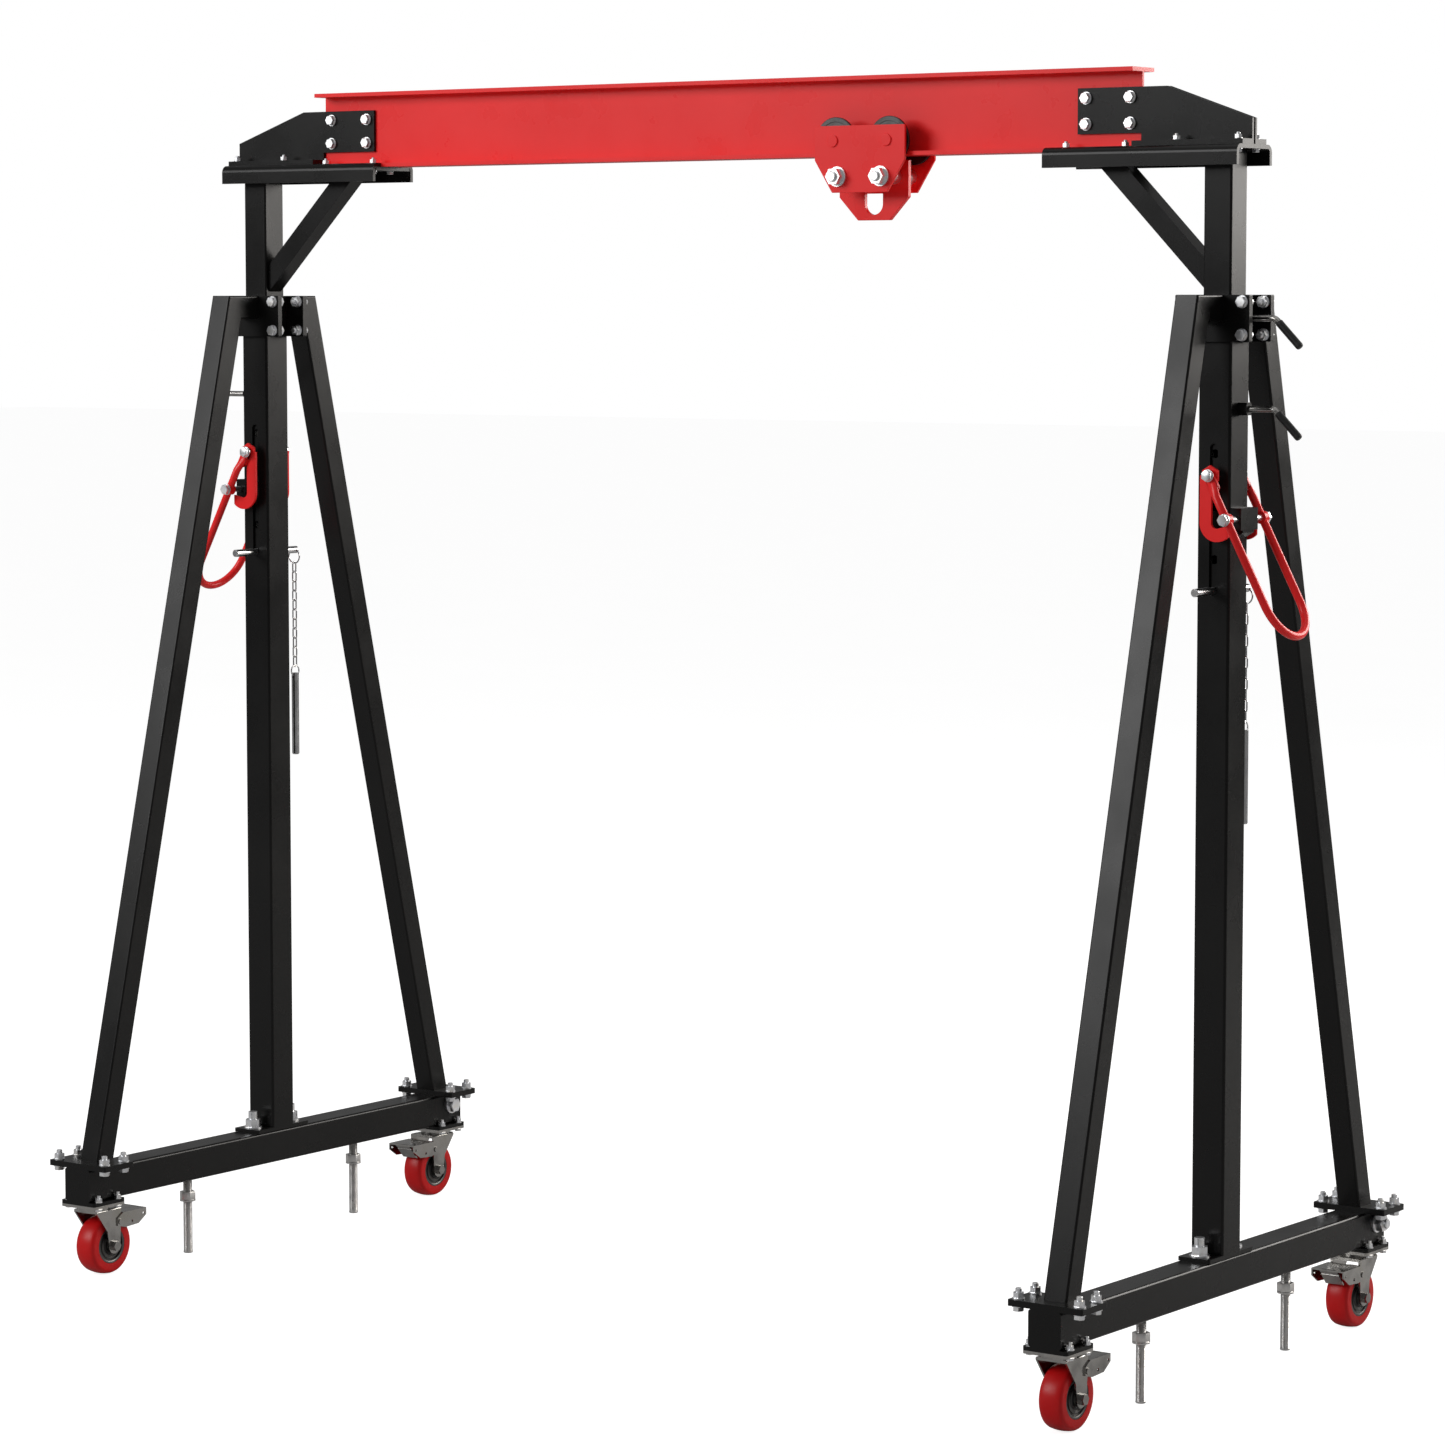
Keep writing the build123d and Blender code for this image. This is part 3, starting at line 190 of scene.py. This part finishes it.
ringLook = {"roughness": 0.5, "smear": 0.06, "cloudScale": 30, "grainScale": 700, "grain": 0.15,
            "coat": 0.1, "coatRoughness": 0.25, "gloss": 0.4,
            "dark": (0.008, 0.008, 0.008), "light": (0.016, 0.016, 0.016)}

blackPaint = paintedSteel("blackPowderCoat", blackLook)
redPaint = paintedSteel("redGlossPaint", redLook)
zincPlate = platedSteel("brightZincPlate", zincLook)
boltPlate = platedSteel("boltZincPlate", boltLook)
pinSteel = platedSteel("drawnPinSteel", pinLook)
rodSteel = platedSteel("threadedRodSteel", rodLook)
wheelIron = platedSteel("trolleyWheelIron", ironLook)
hubMetal = platedSteel("casterHubMetal", hubLook)
gripRubber = mouldedRubber("gripRubber", gripLook)
treadRed = mouldedRubber("casterTreadRed", treadLook)
sealRubber = mouldedRubber("hubSealRubber", ringLook)
print("finishes ready")


def finishMesh(bm, name, materials, body, replaced, smoothAngle=meshCare["smooth"]):
    bmesh.ops.remove_doubles(bm, verts=bm.verts, dist=meshCare["merge"])
    bmesh.ops.recalc_face_normals(bm, faces=bm.faces)
    limit = math.radians(smoothAngle)
    for face in bm.faces:
        face.smooth = True
    for edge in bm.edges:
        if len(edge.link_faces) == 2:
            edge.smooth = edge.calc_face_angle(0) < limit
    mesh = bpy.data.meshes.new(name)
    bm.to_mesh(mesh)
    bm.free()
    piece = bpy.data.objects.new(name, mesh)
    bpy.context.scene.collection.objects.link(piece)
    for material in materials:
        mesh.materials.append(material)
    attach(piece, body)
    if replaced:
        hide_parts(*replaced)
    return piece


def spinProfile(bm, points, place, steps, materialOf=None):
    # a profile of (radius, height) turned about the local Z axis
    rim = [bm.verts.new((radius, 0, height)) for radius, height in points]
    line = [bm.edges.new(pair) for pair in zip(rim, rim[1:])]
    made = set(bm.faces)
    bmesh.ops.spin(bm, geom=rim + line, cent=(0, 0, 0), axis=(0, 0, 1), dvec=(0, 0, 0), angle=2 * math.pi,
                   steps=steps, use_merge=True)
    fresh = [face for face in bm.faces if face not in made]
    if materialOf:
        for face in fresh:
            middle = face.calc_center_median()
            face.material_index = materialOf(math.hypot(middle.x, middle.y), middle.z)
    corners = list(dict.fromkeys(vertex for face in fresh for vertex in face.verts))
    bmesh.ops.remove_doubles(bm, verts=corners, dist=meshCare["merge"])
    corners = [vertex for vertex in corners if vertex.is_valid]
    bmesh.ops.transform(bm, matrix=place, verts=corners)


def addHexagon(bm, flats, height, place, chamferSize=0.0006):
    shape = bmesh.ops.create_cone(bm, cap_ends=True, segments=6, radius1=flats / math.sqrt(3),
                                  radius2=flats / math.sqrt(3), depth=height,
                                  matrix=place @ Matrix.Translation((0, 0, height / 2)))
    corners = shape["verts"]
    rims = list(dict.fromkeys(edge for corner in corners for edge in corner.link_edges))
    bmesh.ops.bevel(bm, geom=rims, offset=chamferSize, segments=2, profile=0.5, affect="EDGES", material=-1)


def washerProfile(radius, thickness, corner=0.0003):
    return [(0, 0), (radius - corner, 0), (radius, corner), (radius, thickness - corner),
            (radius - corner, thickness), (0, thickness)]


def alongAxis(spot, axis):
    # local Z turned to the axis, at the spot
    return Matrix.Translation(spot) @ Vector(axis).to_track_quat("Z", "Y").to_matrix().to_4x4()


def finishNode(name, material):
    node = cadNodes[name]
    node.data.materials.clear()
    node.data.materials.append(material)


brokenCorner = {"merge": 0.000005, "flat": 0.5, "segments": 2, "angle": 40}


def softenedCopy(name, body, material, width):
    # the node's own shape with its corners broken, as sheared and ground steel has them
    bm = bmesh.new()
    bm.from_mesh(cadNodes[name].data)
    bmesh.ops.remove_doubles(bm, verts=bm.verts, dist=brokenCorner["merge"])
    flatLimit = math.radians(brokenCorner["flat"])
    bmesh.ops.dissolve_limit(bm, angle_limit=flatLimit, verts=bm.verts, edges=bm.edges)
    for face in bm.faces:
        face.material_index = 0
    piece = finishMesh(bm, name + "_soft", [material], body, [name])
    bevel = piece.modifiers.new("brokenCorner", "BEVEL")
    bevel.width = width
    bevel.segments = brokenCorner["segments"]
    bevel.limit_method = "ANGLE"
    bevel.angle_limit = math.radians(brokenCorner["angle"])
    bevel.harden_normals = True
    return piece


bodyOf = {node: body for body, members in frame["record"]["behaviour"]["bodies"].items() for node in members}
finishOf = {
    "base_beam": blackPaint, "outer_post": blackPaint, "front_leg": blackPaint, "rear_leg": blackPaint,
    "head_frame": blackPaint, "gusset_plates": blackPaint,
    "i_beam": redPaint, "load_plate": redPaint, "trolley_side_plates": redPaint, "lift_hooks": redPaint,
    "lever": redPaint,
    "caster_plates": zincPlate, "fork": zincPlate, "brake_pedal": zincPlate, "clamp_screw": zincPlate,
    "tower_bolts": boltPlate, "bridge_bolts": boltPlate, "trolley_bolts": boltPlate,
    "lock_pin": pinSteel, "tether": pinSteel, "jack_leg": rodSteel, "wheel": wheelIron, "hub": hubMetal,
    "grip": gripRubber, "tyre": treadRed,
}
for nodeName in cadNodes:
    finishNode(nodeName, next(finishOf[key] for key in finishOf if nodeName.endswith(key)))
print("frame steel finished")


casterLook = {
    "centre": (1.2, 0.543, 0.0625), "steps": 72,
    "tread": [(0.0393, -0.0244), (0.0520, -0.0250), (0.0556, -0.0244), (0.0586, -0.0222), (0.0604, -0.0186),
              (0.0616, -0.0120), (0.0623, -0.0055), (0.0625, 0.0), (0.0623, 0.0055), (0.0616, 0.0120),
              (0.0604, 0.0186), (0.0586, 0.0222), (0.0556, 0.0244), (0.0520, 0.0250), (0.0393, 0.0244),
              (0.0393, -0.0244)],
    "hubFace": [(0.00606, 0.0292), (0.0112, 0.0292), (0.0120, 0.0284), (0.0120, 0.0246), (0.0158, 0.0246),
                (0.0164, 0.0252), (0.0200, 0.0252), (0.0207, 0.0240), (0.0213, 0.0216), (0.0252, 0.0206),
                (0.0259, 0.0226), (0.0282, 0.0226), (0.0290, 0.0200), (0.0330, 0.0188), (0.0338, 0.0232),
                (0.0350, 0.0240), (0.0386, 0.0240), (0.0391, 0.0235)],
    "seal": (0.0160, 0.0209), "sealFrom": 0.0150, "boss": 0.0122,
}


def hubFinish(radius, height):
    if abs(height) > casterLook["sealFrom"] and casterLook["seal"][0] < radius < casterLook["seal"][1]:
        return 1
    if radius < casterLook["boss"]:
        return 2
    return 0


farFace = [(radius, -height) for radius, height in reversed(casterLook["hubFace"])]
hubProfile = casterLook["hubFace"] + farFace + casterLook["hubFace"][:1]
for side in sides:
    for end in ends:
        caster = f"{side}_{end}"
        across, along, height = casterLook["centre"]
        spot = (sideSign[side] * across, along if end == "rear" else -along, height)
        wheelPlace = alongAxis(spot, (1, 0, 0))
        bm = bmesh.new()
        spinProfile(bm, casterLook["tread"], wheelPlace, casterLook["steps"])
        finishMesh(bm, caster + "_tread", [treadRed], caster + "_wheel", [caster + "_tyre"])
        bm = bmesh.new()
        spinProfile(bm, hubProfile, wheelPlace, casterLook["steps"], hubFinish)
        finishMesh(bm, caster + "_hubRings", [hubMetal, sealRubber, zincPlate], caster + "_wheel",
                   [caster + "_hub"])
print("caster wheels ready")


jackLook = {"spot": (1.2, 0.277), "radius": 0.010, "root": 0.0089, "pitch": 0.0025, "top": 0.185,
            "foot": 0.004, "nutLow": 0.117, "nutHeight": 0.018, "nutFlats": 0.030, "nutCorner": 0.0009,
            "washer": 0.003, "washerRadius": 0.017, "tip": (0.0086, 0.0014), "head": 0.0088,
            "runOut": 0.001, "smooth": 28}


def threadProfile(radius, root, pitch, low, high):
    points = [(radius, low)]
    turns = int((high - low) / pitch)
    for turn in range(turns):
        points.append((root, low + (turn + 0.5) * pitch))
        points.append((radius, low + (turn + 1) * pitch))
    return points


for side in sides:
    for end in ends:
        across, along = jackLook["spot"]
        spot = Vector((sideSign[side] * across, along if end == "rear" else -along, 0))
        bm = bmesh.new()
        thread = threadProfile(jackLook["radius"], jackLook["root"], jackLook["pitch"], jackLook["foot"],
                               jackLook["top"] - jackLook["runOut"])
        tipRadius, tipChamfer = jackLook["tip"]
        foot = [(0, 0), (tipRadius, 0), (jackLook["radius"], tipChamfer)]
        head = [(jackLook["head"], jackLook["top"]), (0, jackLook["top"])]
        spinProfile(bm, foot + thread + head, Matrix.Translation(spot), turnSteps["rod"])
        nutPlace = Matrix.Translation(spot + Vector((0, 0, jackLook["nutLow"])))
        addHexagon(bm, jackLook["nutFlats"], jackLook["nutHeight"], nutPlace, jackLook["nutCorner"])
        washer = washerProfile(jackLook["washerRadius"], jackLook["washer"])
        washerPlace = nutPlace @ Matrix.Translation((0, 0, -jackLook["washer"]))
        spinProfile(bm, washer, washerPlace, turnSteps["washer"])
        finishMesh(bm, f"{side}_{end}_threadedJack", [rodSteel], f"{side}_{end}_jack",
                   [f"{side}_{end}_jack_leg"], jackLook["smooth"])
print("jacks ready")


gripShape = {"bend": 1.309, "start": 0.011, "radius": 0.0075, "groove": 0.0068, "bore": (0.0061, 0.063),
             "mouth": 0.0070, "lip": 0.0006, "ribs": 17, "ribPitch": 0.003, "firstRib": 0.006,
             "ribSteps": (0.0004, 0.0011, 0.0015), "steps": 36, "smooth": 50,
             "tip": [(0.0075, 0.0615), (0.0070, 0.0640), (0.0056, 0.0655), (0.0030, 0.0660), (0, 0.0660)],
             "heights": {"lower": 1.857, "upper": 2.027}}
boreRadius, boreDepth = gripShape["bore"]
gripProfile = [(0, boreDepth), (boreRadius, boreDepth), (boreRadius, 0), (gripShape["mouth"], 0),
               (gripShape["radius"], gripShape["lip"])]
grooveStart, grooveEnd, ribStart = gripShape["ribSteps"]
for rib in range(gripShape["ribs"]):
    base = gripShape["firstRib"] + rib * gripShape["ribPitch"]
    gripProfile += [(gripShape["radius"], base), (gripShape["groove"], base + grooveStart),
                    (gripShape["groove"], base + grooveEnd), (gripShape["radius"], base + ribStart)]
gripProfile += gripShape["tip"]
for side in sides:
    for level, gripHeight in gripShape["heights"].items():
        slope = Vector((sideSign[side], 0, -1)).normalized()
        spot = Vector((sideSign[side] * gripShape["bend"], 0, gripHeight)) + slope * gripShape["start"]
        bm = bmesh.new()
        spinProfile(bm, gripProfile, alongAxis(spot, slope), gripShape["steps"])
        finishMesh(bm, f"{side}_{level}_ribbedGrip", [gripRubber], f"{side}_{level}_clamp",
                   [f"{side}_{level}_grip"], gripShape["smooth"])
print("grips ready")


leverShape = {"pivot": (1.247, 1.65), "lean": 28, "half": 0.068, "bar": 0.008, "loop": 0.178,
              "round": 0.048, "flatEnd": 0.079, "flatSpot": 0.0593, "flatThick": 0.006, "flatSpread": 1.25,
              "eyeRadius": 0.0105, "eyeSpot": 0.093, "eyeLap": 0.012, "discRadius": 0.012,
              "discNear": 0.060, "discThick": 0.016, "discCorner": 0.0006, "pinHole": 0.00606,
              "barSteps": 24, "bendSteps": 40, "eyeSteps": 32, "discSteps": 40, "smooth": 40}
leverBolt = {"far": 0.0623, "washer": 0.0024, "washerRadius": 0.012, "flats": 0.019, "head": 0.007,
             "grip": 0.0126, "nut": 0.006, "radius": 0.006, "end": 0.022, "tip": (0.005, 0.001)}


def leverPlace(side):
    # local X across the lever, local Y down its length
    lean = math.radians(leverShape["lean"])
    down = Vector((sideSign[side] * math.sin(lean), 0, -math.cos(lean)))
    across = Vector((0, 1, 0))
    turned = Matrix((across, down, across.cross(down))).transposed().to_4x4()
    return Matrix.Translation((sideSign[side] * leverShape["pivot"][0], 0, leverShape["pivot"][1])) @ turned


def pullEnd(bm, loop, shift, squeeze=None):
    # carries an open end of the bar on by one length
    pulled = bmesh.ops.extrude_edge_only(bm, edges=loop)["geom"]
    corners = [item for item in pulled if isinstance(item, bmesh.types.BMVert)]
    bmesh.ops.translate(bm, vec=shift, verts=corners)
    if squeeze:
        middle = sum((corner.co for corner in corners), Vector()) / len(corners)
        bmesh.ops.scale(bm, vec=squeeze, verts=corners, space=Matrix.Translation(-middle))
    rim = set(corners)
    return [edge for edge in bm.edges if edge.is_boundary and set(edge.verts) <= rim]


for side in sides:
    place = leverPlace(side)
    bm = bmesh.new()
    ringPlace = Matrix.Translation((-leverShape["half"], leverShape["loop"], 0))
    ring = bmesh.ops.create_circle(bm, cap_ends=False, segments=leverShape["barSteps"],
                                   radius=leverShape["bar"],
                                   matrix=ringPlace @ Matrix.Rotation(math.pi / 2, 4, "X"))
    ringEdges = list(dict.fromkeys(edge for corner in ring["verts"] for edge in corner.link_edges))
    bmesh.ops.spin(bm, geom=ring["verts"] + ringEdges, cent=(0, leverShape["loop"], 0), axis=(0, 0, 1),
                   dvec=(0, 0, 0), angle=-math.pi, steps=leverShape["bendSteps"], use_merge=False)
    for way in (-1, 1):
        loop = [edge for edge in bm.edges if edge.is_boundary and edge.verts[0].co.x * way > 0]
        loop = pullEnd(bm, loop, (0, -leverShape["loop"], 0))
        loop = pullEnd(bm, loop, (0, -leverShape["round"], 0))
        inward = leverShape["flatSpot"] - leverShape["half"]
        loop = pullEnd(bm, loop, (way * inward, leverShape["round"] - leverShape["flatEnd"], 0),
                       (leverShape["flatThick"] / (2 * leverShape["bar"]), 1, leverShape["flatSpread"]))
        bmesh.ops.contextual_create(bm, geom=loop)
        eye = []
        for reach in (leverShape["flatEnd"] - leverShape["eyeLap"], leverShape["eyeSpot"]):
            eyePlace = Matrix.Translation((way * leverShape["flatSpot"], -reach, 0))
            disc = bmesh.ops.create_cone(bm, cap_ends=True, segments=leverShape["eyeSteps"],
                                         radius1=leverShape["eyeRadius"], radius2=leverShape["eyeRadius"],
                                         depth=leverShape["flatThick"],
                                         matrix=eyePlace @ Matrix.Rotation(math.pi / 2, 4, "Y"))
            eye += disc["verts"]
        hull = bmesh.ops.convex_hull(bm, input=eye)
        inside = [item for item in hull["geom_interior"] if isinstance(item, bmesh.types.BMVert)]
        bmesh.ops.delete(bm, geom=inside, context="VERTS")
    bmesh.ops.transform(bm, matrix=place, verts=bm.verts)
    hole, corner, thick = leverShape["pinHole"], leverShape["discCorner"], leverShape["discThick"]
    discFlat = leverShape["discRadius"] - corner
    disc = [(hole, 0), (discFlat, 0), (leverShape["discRadius"], corner),
            (leverShape["discRadius"], thick - corner), (discFlat, thick), (hole, thick), (hole, 0)]
    for way in (-1, 1):
        spot = place @ Vector((way * leverShape["discNear"], 0, 0))
        spinProfile(bm, disc, alongAxis(spot, (0, way, 0)), leverShape["discSteps"])
    finishMesh(bm, side + "_leverBar", [redPaint], side + "_lever", [side + "_lever"],
               leverShape["smooth"])

    bm = bmesh.new()
    washer = washerProfile(leverBolt["washerRadius"], leverBolt["washer"])
    tipRadius, tipChamfer = leverBolt["tip"]
    shank = [(0, 0), (leverBolt["radius"], 0), (leverBolt["radius"], leverBolt["end"] - tipChamfer),
             (tipRadius, leverBolt["end"]), (0, leverBolt["end"])]
    for way in (-1, 1):
        spot = place @ Vector((way * leverBolt["far"], -leverShape["eyeSpot"], 0))
        inPlace = alongAxis(spot, (0, -way, 0))
        for rise in (-leverBolt["washer"], leverBolt["grip"]):
            spinProfile(bm, washer, inPlace @ Matrix.Translation((0, 0, rise)), turnSteps["washer"])
        headRise = -leverBolt["washer"] - leverBolt["head"]
        nutRise = leverBolt["grip"] + leverBolt["washer"]
        for thickness, rise in ((leverBolt["head"], headRise), (leverBolt["nut"], nutRise)):
            addHexagon(bm, leverBolt["flats"], thickness, inPlace @ Matrix.Translation((0, 0, rise)))
        spinProfile(bm, shank, inPlace, turnSteps["rod"])
    finishMesh(bm, side + "_leverBolts", [boltPlate], side + "_lever", [side + "_lever"])
print("levers ready")


trolleyWheel = {"x": 0.405, "halfBase": 0.0635, "start": 0.014, "z": 2.3743, "steps": 72,
                "profile": [(0.00806, 0), (0.0210, 0), (0.0220, 0.0010), (0.0220, 0.0262), (0.0232, 0.0275),
                            (0.0462, 0.0275), (0.0470, 0.0283), (0.0470, 0.0325), (0.0460, 0.0335),
                            (0.0380, 0.0335), (0.0372, 0.0328), (0.0200, 0.0328), (0.0192, 0.0335),
                            (0.0125, 0.0335), (0.0120, 0.0340), (0.0120, 0.0357), (0.00806, 0.0357),
                            (0.00806, 0)]}
for facing, way in (("front", -1), ("rear", 1)):
    for end, shift in (("left", -trolleyWheel["halfBase"]), ("right", trolleyWheel["halfBase"])):
        nodeName = f"trolley_{facing}_{end}_wheel"
        spot = (trolleyWheel["x"] + shift, way * trolleyWheel["start"], trolleyWheel["z"])
        bm = bmesh.new()
        spinProfile(bm, trolleyWheel["profile"], alongAxis(spot, (0, way, 0)), trolleyWheel["steps"])
        finishMesh(bm, nodeName + "_turned", [wheelIron], nodeName, [nodeName])
print("trolley wheels ready")


plateFinish = {"gusset_plates": (blackPaint, "black_paint", 0.0008),
               "load_plate": (redPaint, "red_paint", 0.0012),
               "trolley_side_plates": (redPaint, "red_paint", 0.0008)}
for side in sides:
    plateFinish[side + "_lift_hooks"] = (redPaint, "red_paint", 0.0008)
for nodeName, (material, slotName, width) in plateFinish.items():
    softenedCopy(nodeName, bodyOf[nodeName], material, width)
print("plates ready")


cameraView = {"place": (5.646033, -7.775901, 2.056462), "yaw": 0.62529, "pitch": -0.08901, "lens": 117.246,
              "sensor": 36, "farClip": 200}
camera = bpy.data.objects.new("studioCamera", bpy.data.cameras.new("studioCamera"))
camera.data.lens = cameraView["lens"]
camera.data.sensor_width = cameraView["sensor"]
camera.data.clip_end = cameraView["farClip"]
camera.location = cameraView["place"]
camera.rotation_euler = (math.pi / 2 + cameraView["pitch"], 0, cameraView["yaw"])
bpy.context.scene.collection.objects.link(camera)
bpy.context.scene.camera = camera

bpy.context.scene.view_settings.view_transform = "Standard"

studio = {
    "rearPanel": {"place": (4.2, 6.2, 3.75), "aim": (0.4, 0, 2.2), "wide": 6.0, "tall": 3.2, "power": 480,
                  "colour": (1, 0.965, 0.92)},
    "frontPanel": {"place": (-5.5, -8.5, 5.5), "aim": (0, 0, 1.2), "wide": 6.0, "tall": 4.0, "power": 570,
                   "colour": (1, 1, 1)},
    "topPanel": {"place": (0.5, -0.5, 7.5), "aim": (0, 0, 0), "wide": 8.0, "tall": 8.0, "power": 90,
                 "colour": (1, 1, 1)},
}
for panelName, panel in studio.items():
    panelData = bpy.data.lights.new(panelName, "AREA")
    panelData.shape = "RECTANGLE"
    panelData.size = panel["wide"]
    panelData.size_y = panel["tall"]
    panelData.energy = panel["power"]
    panelData.color = panel["colour"]
    lamp = bpy.data.objects.new(panelName, panelData)
    lamp.location = panel["place"]
    aim = Vector(panel["aim"]) - Vector(panel["place"])
    lamp.rotation_euler = aim.to_track_quat("-Z", "Y").to_euler()
    lamp.visible_camera = False
    bpy.context.scene.collection.objects.link(lamp)

sky = {"seen": 1.0, "lit": 0.22}  # the plain backdrop, and how much of it lights the crane
world = bpy.data.worlds.new("studioWorld")
bpy.context.scene.world = world
world.use_nodes = True
worldTree = world.node_tree
backdrop = worldTree.nodes["Background"]
backdrop.inputs["Color"].default_value = (1, 1, 1, 1)
seenRay = worldTree.nodes.new("ShaderNodeLightPath").outputs["Is Camera Ray"]
skyLevel = worldTree.nodes.new("ShaderNodeMapRange")
skyLevel.inputs["To Min"].default_value = sky["lit"]
skyLevel.inputs["To Max"].default_value = sky["seen"]
worldTree.links.new(seenRay, skyLevel.inputs["Value"])
worldTree.links.new(skyLevel.outputs["Result"], backdrop.inputs["Strength"])

floorLook = {"size": 120, "glow": 0.86, "bounce": 0.0, "light": (0.5, 0.5, 0.5), "dark": (0.48, 0.48, 0.48),
             "roughness": 0.7, "cloudScale": 1.5, "gloss": 0.1, "squares": 8}
bm = bmesh.new()
bmesh.ops.create_grid(bm, x_segments=floorLook["squares"], y_segments=floorLook["squares"],
                      size=floorLook["size"] / 2)
floorMesh = bpy.data.meshes.new("studioFloor")
bm.to_mesh(floorMesh)
bm.free()
floor = bpy.data.objects.new("studioFloor", floorMesh)
bpy.context.scene.collection.objects.link(floor)
floorMaterial, floorTree, floorShader, floorPlace = startMaterial("paleFloor", floorLook["roughness"], 0)
floorCloud = addNoise(floorTree, floorPlace, floorLook["cloudScale"])
floorTree.links.new(addClouds(floorTree, floorCloud, floorLook), floorShader.inputs["Base Color"])
floorMesh.materials.append(floorMaterial)
floorShader.inputs["Emission Color"].default_value = (1, 1, 1, 1)
floorRay = floorTree.nodes.new("ShaderNodeLightPath").outputs["Is Camera Ray"]
floorGlow = floorTree.nodes.new("ShaderNodeMapRange")
floorGlow.inputs["To Min"].default_value = floorLook["bounce"]
floorGlow.inputs["To Max"].default_value = floorLook["glow"]
floorTree.links.new(floorRay, floorGlow.inputs["Value"])
floorTree.links.new(floorGlow.outputs["Result"], floorShader.inputs["Emission Strength"])
floorShader.inputs["Specular IOR Level"].default_value = floorLook["gloss"]
print("studio ready")
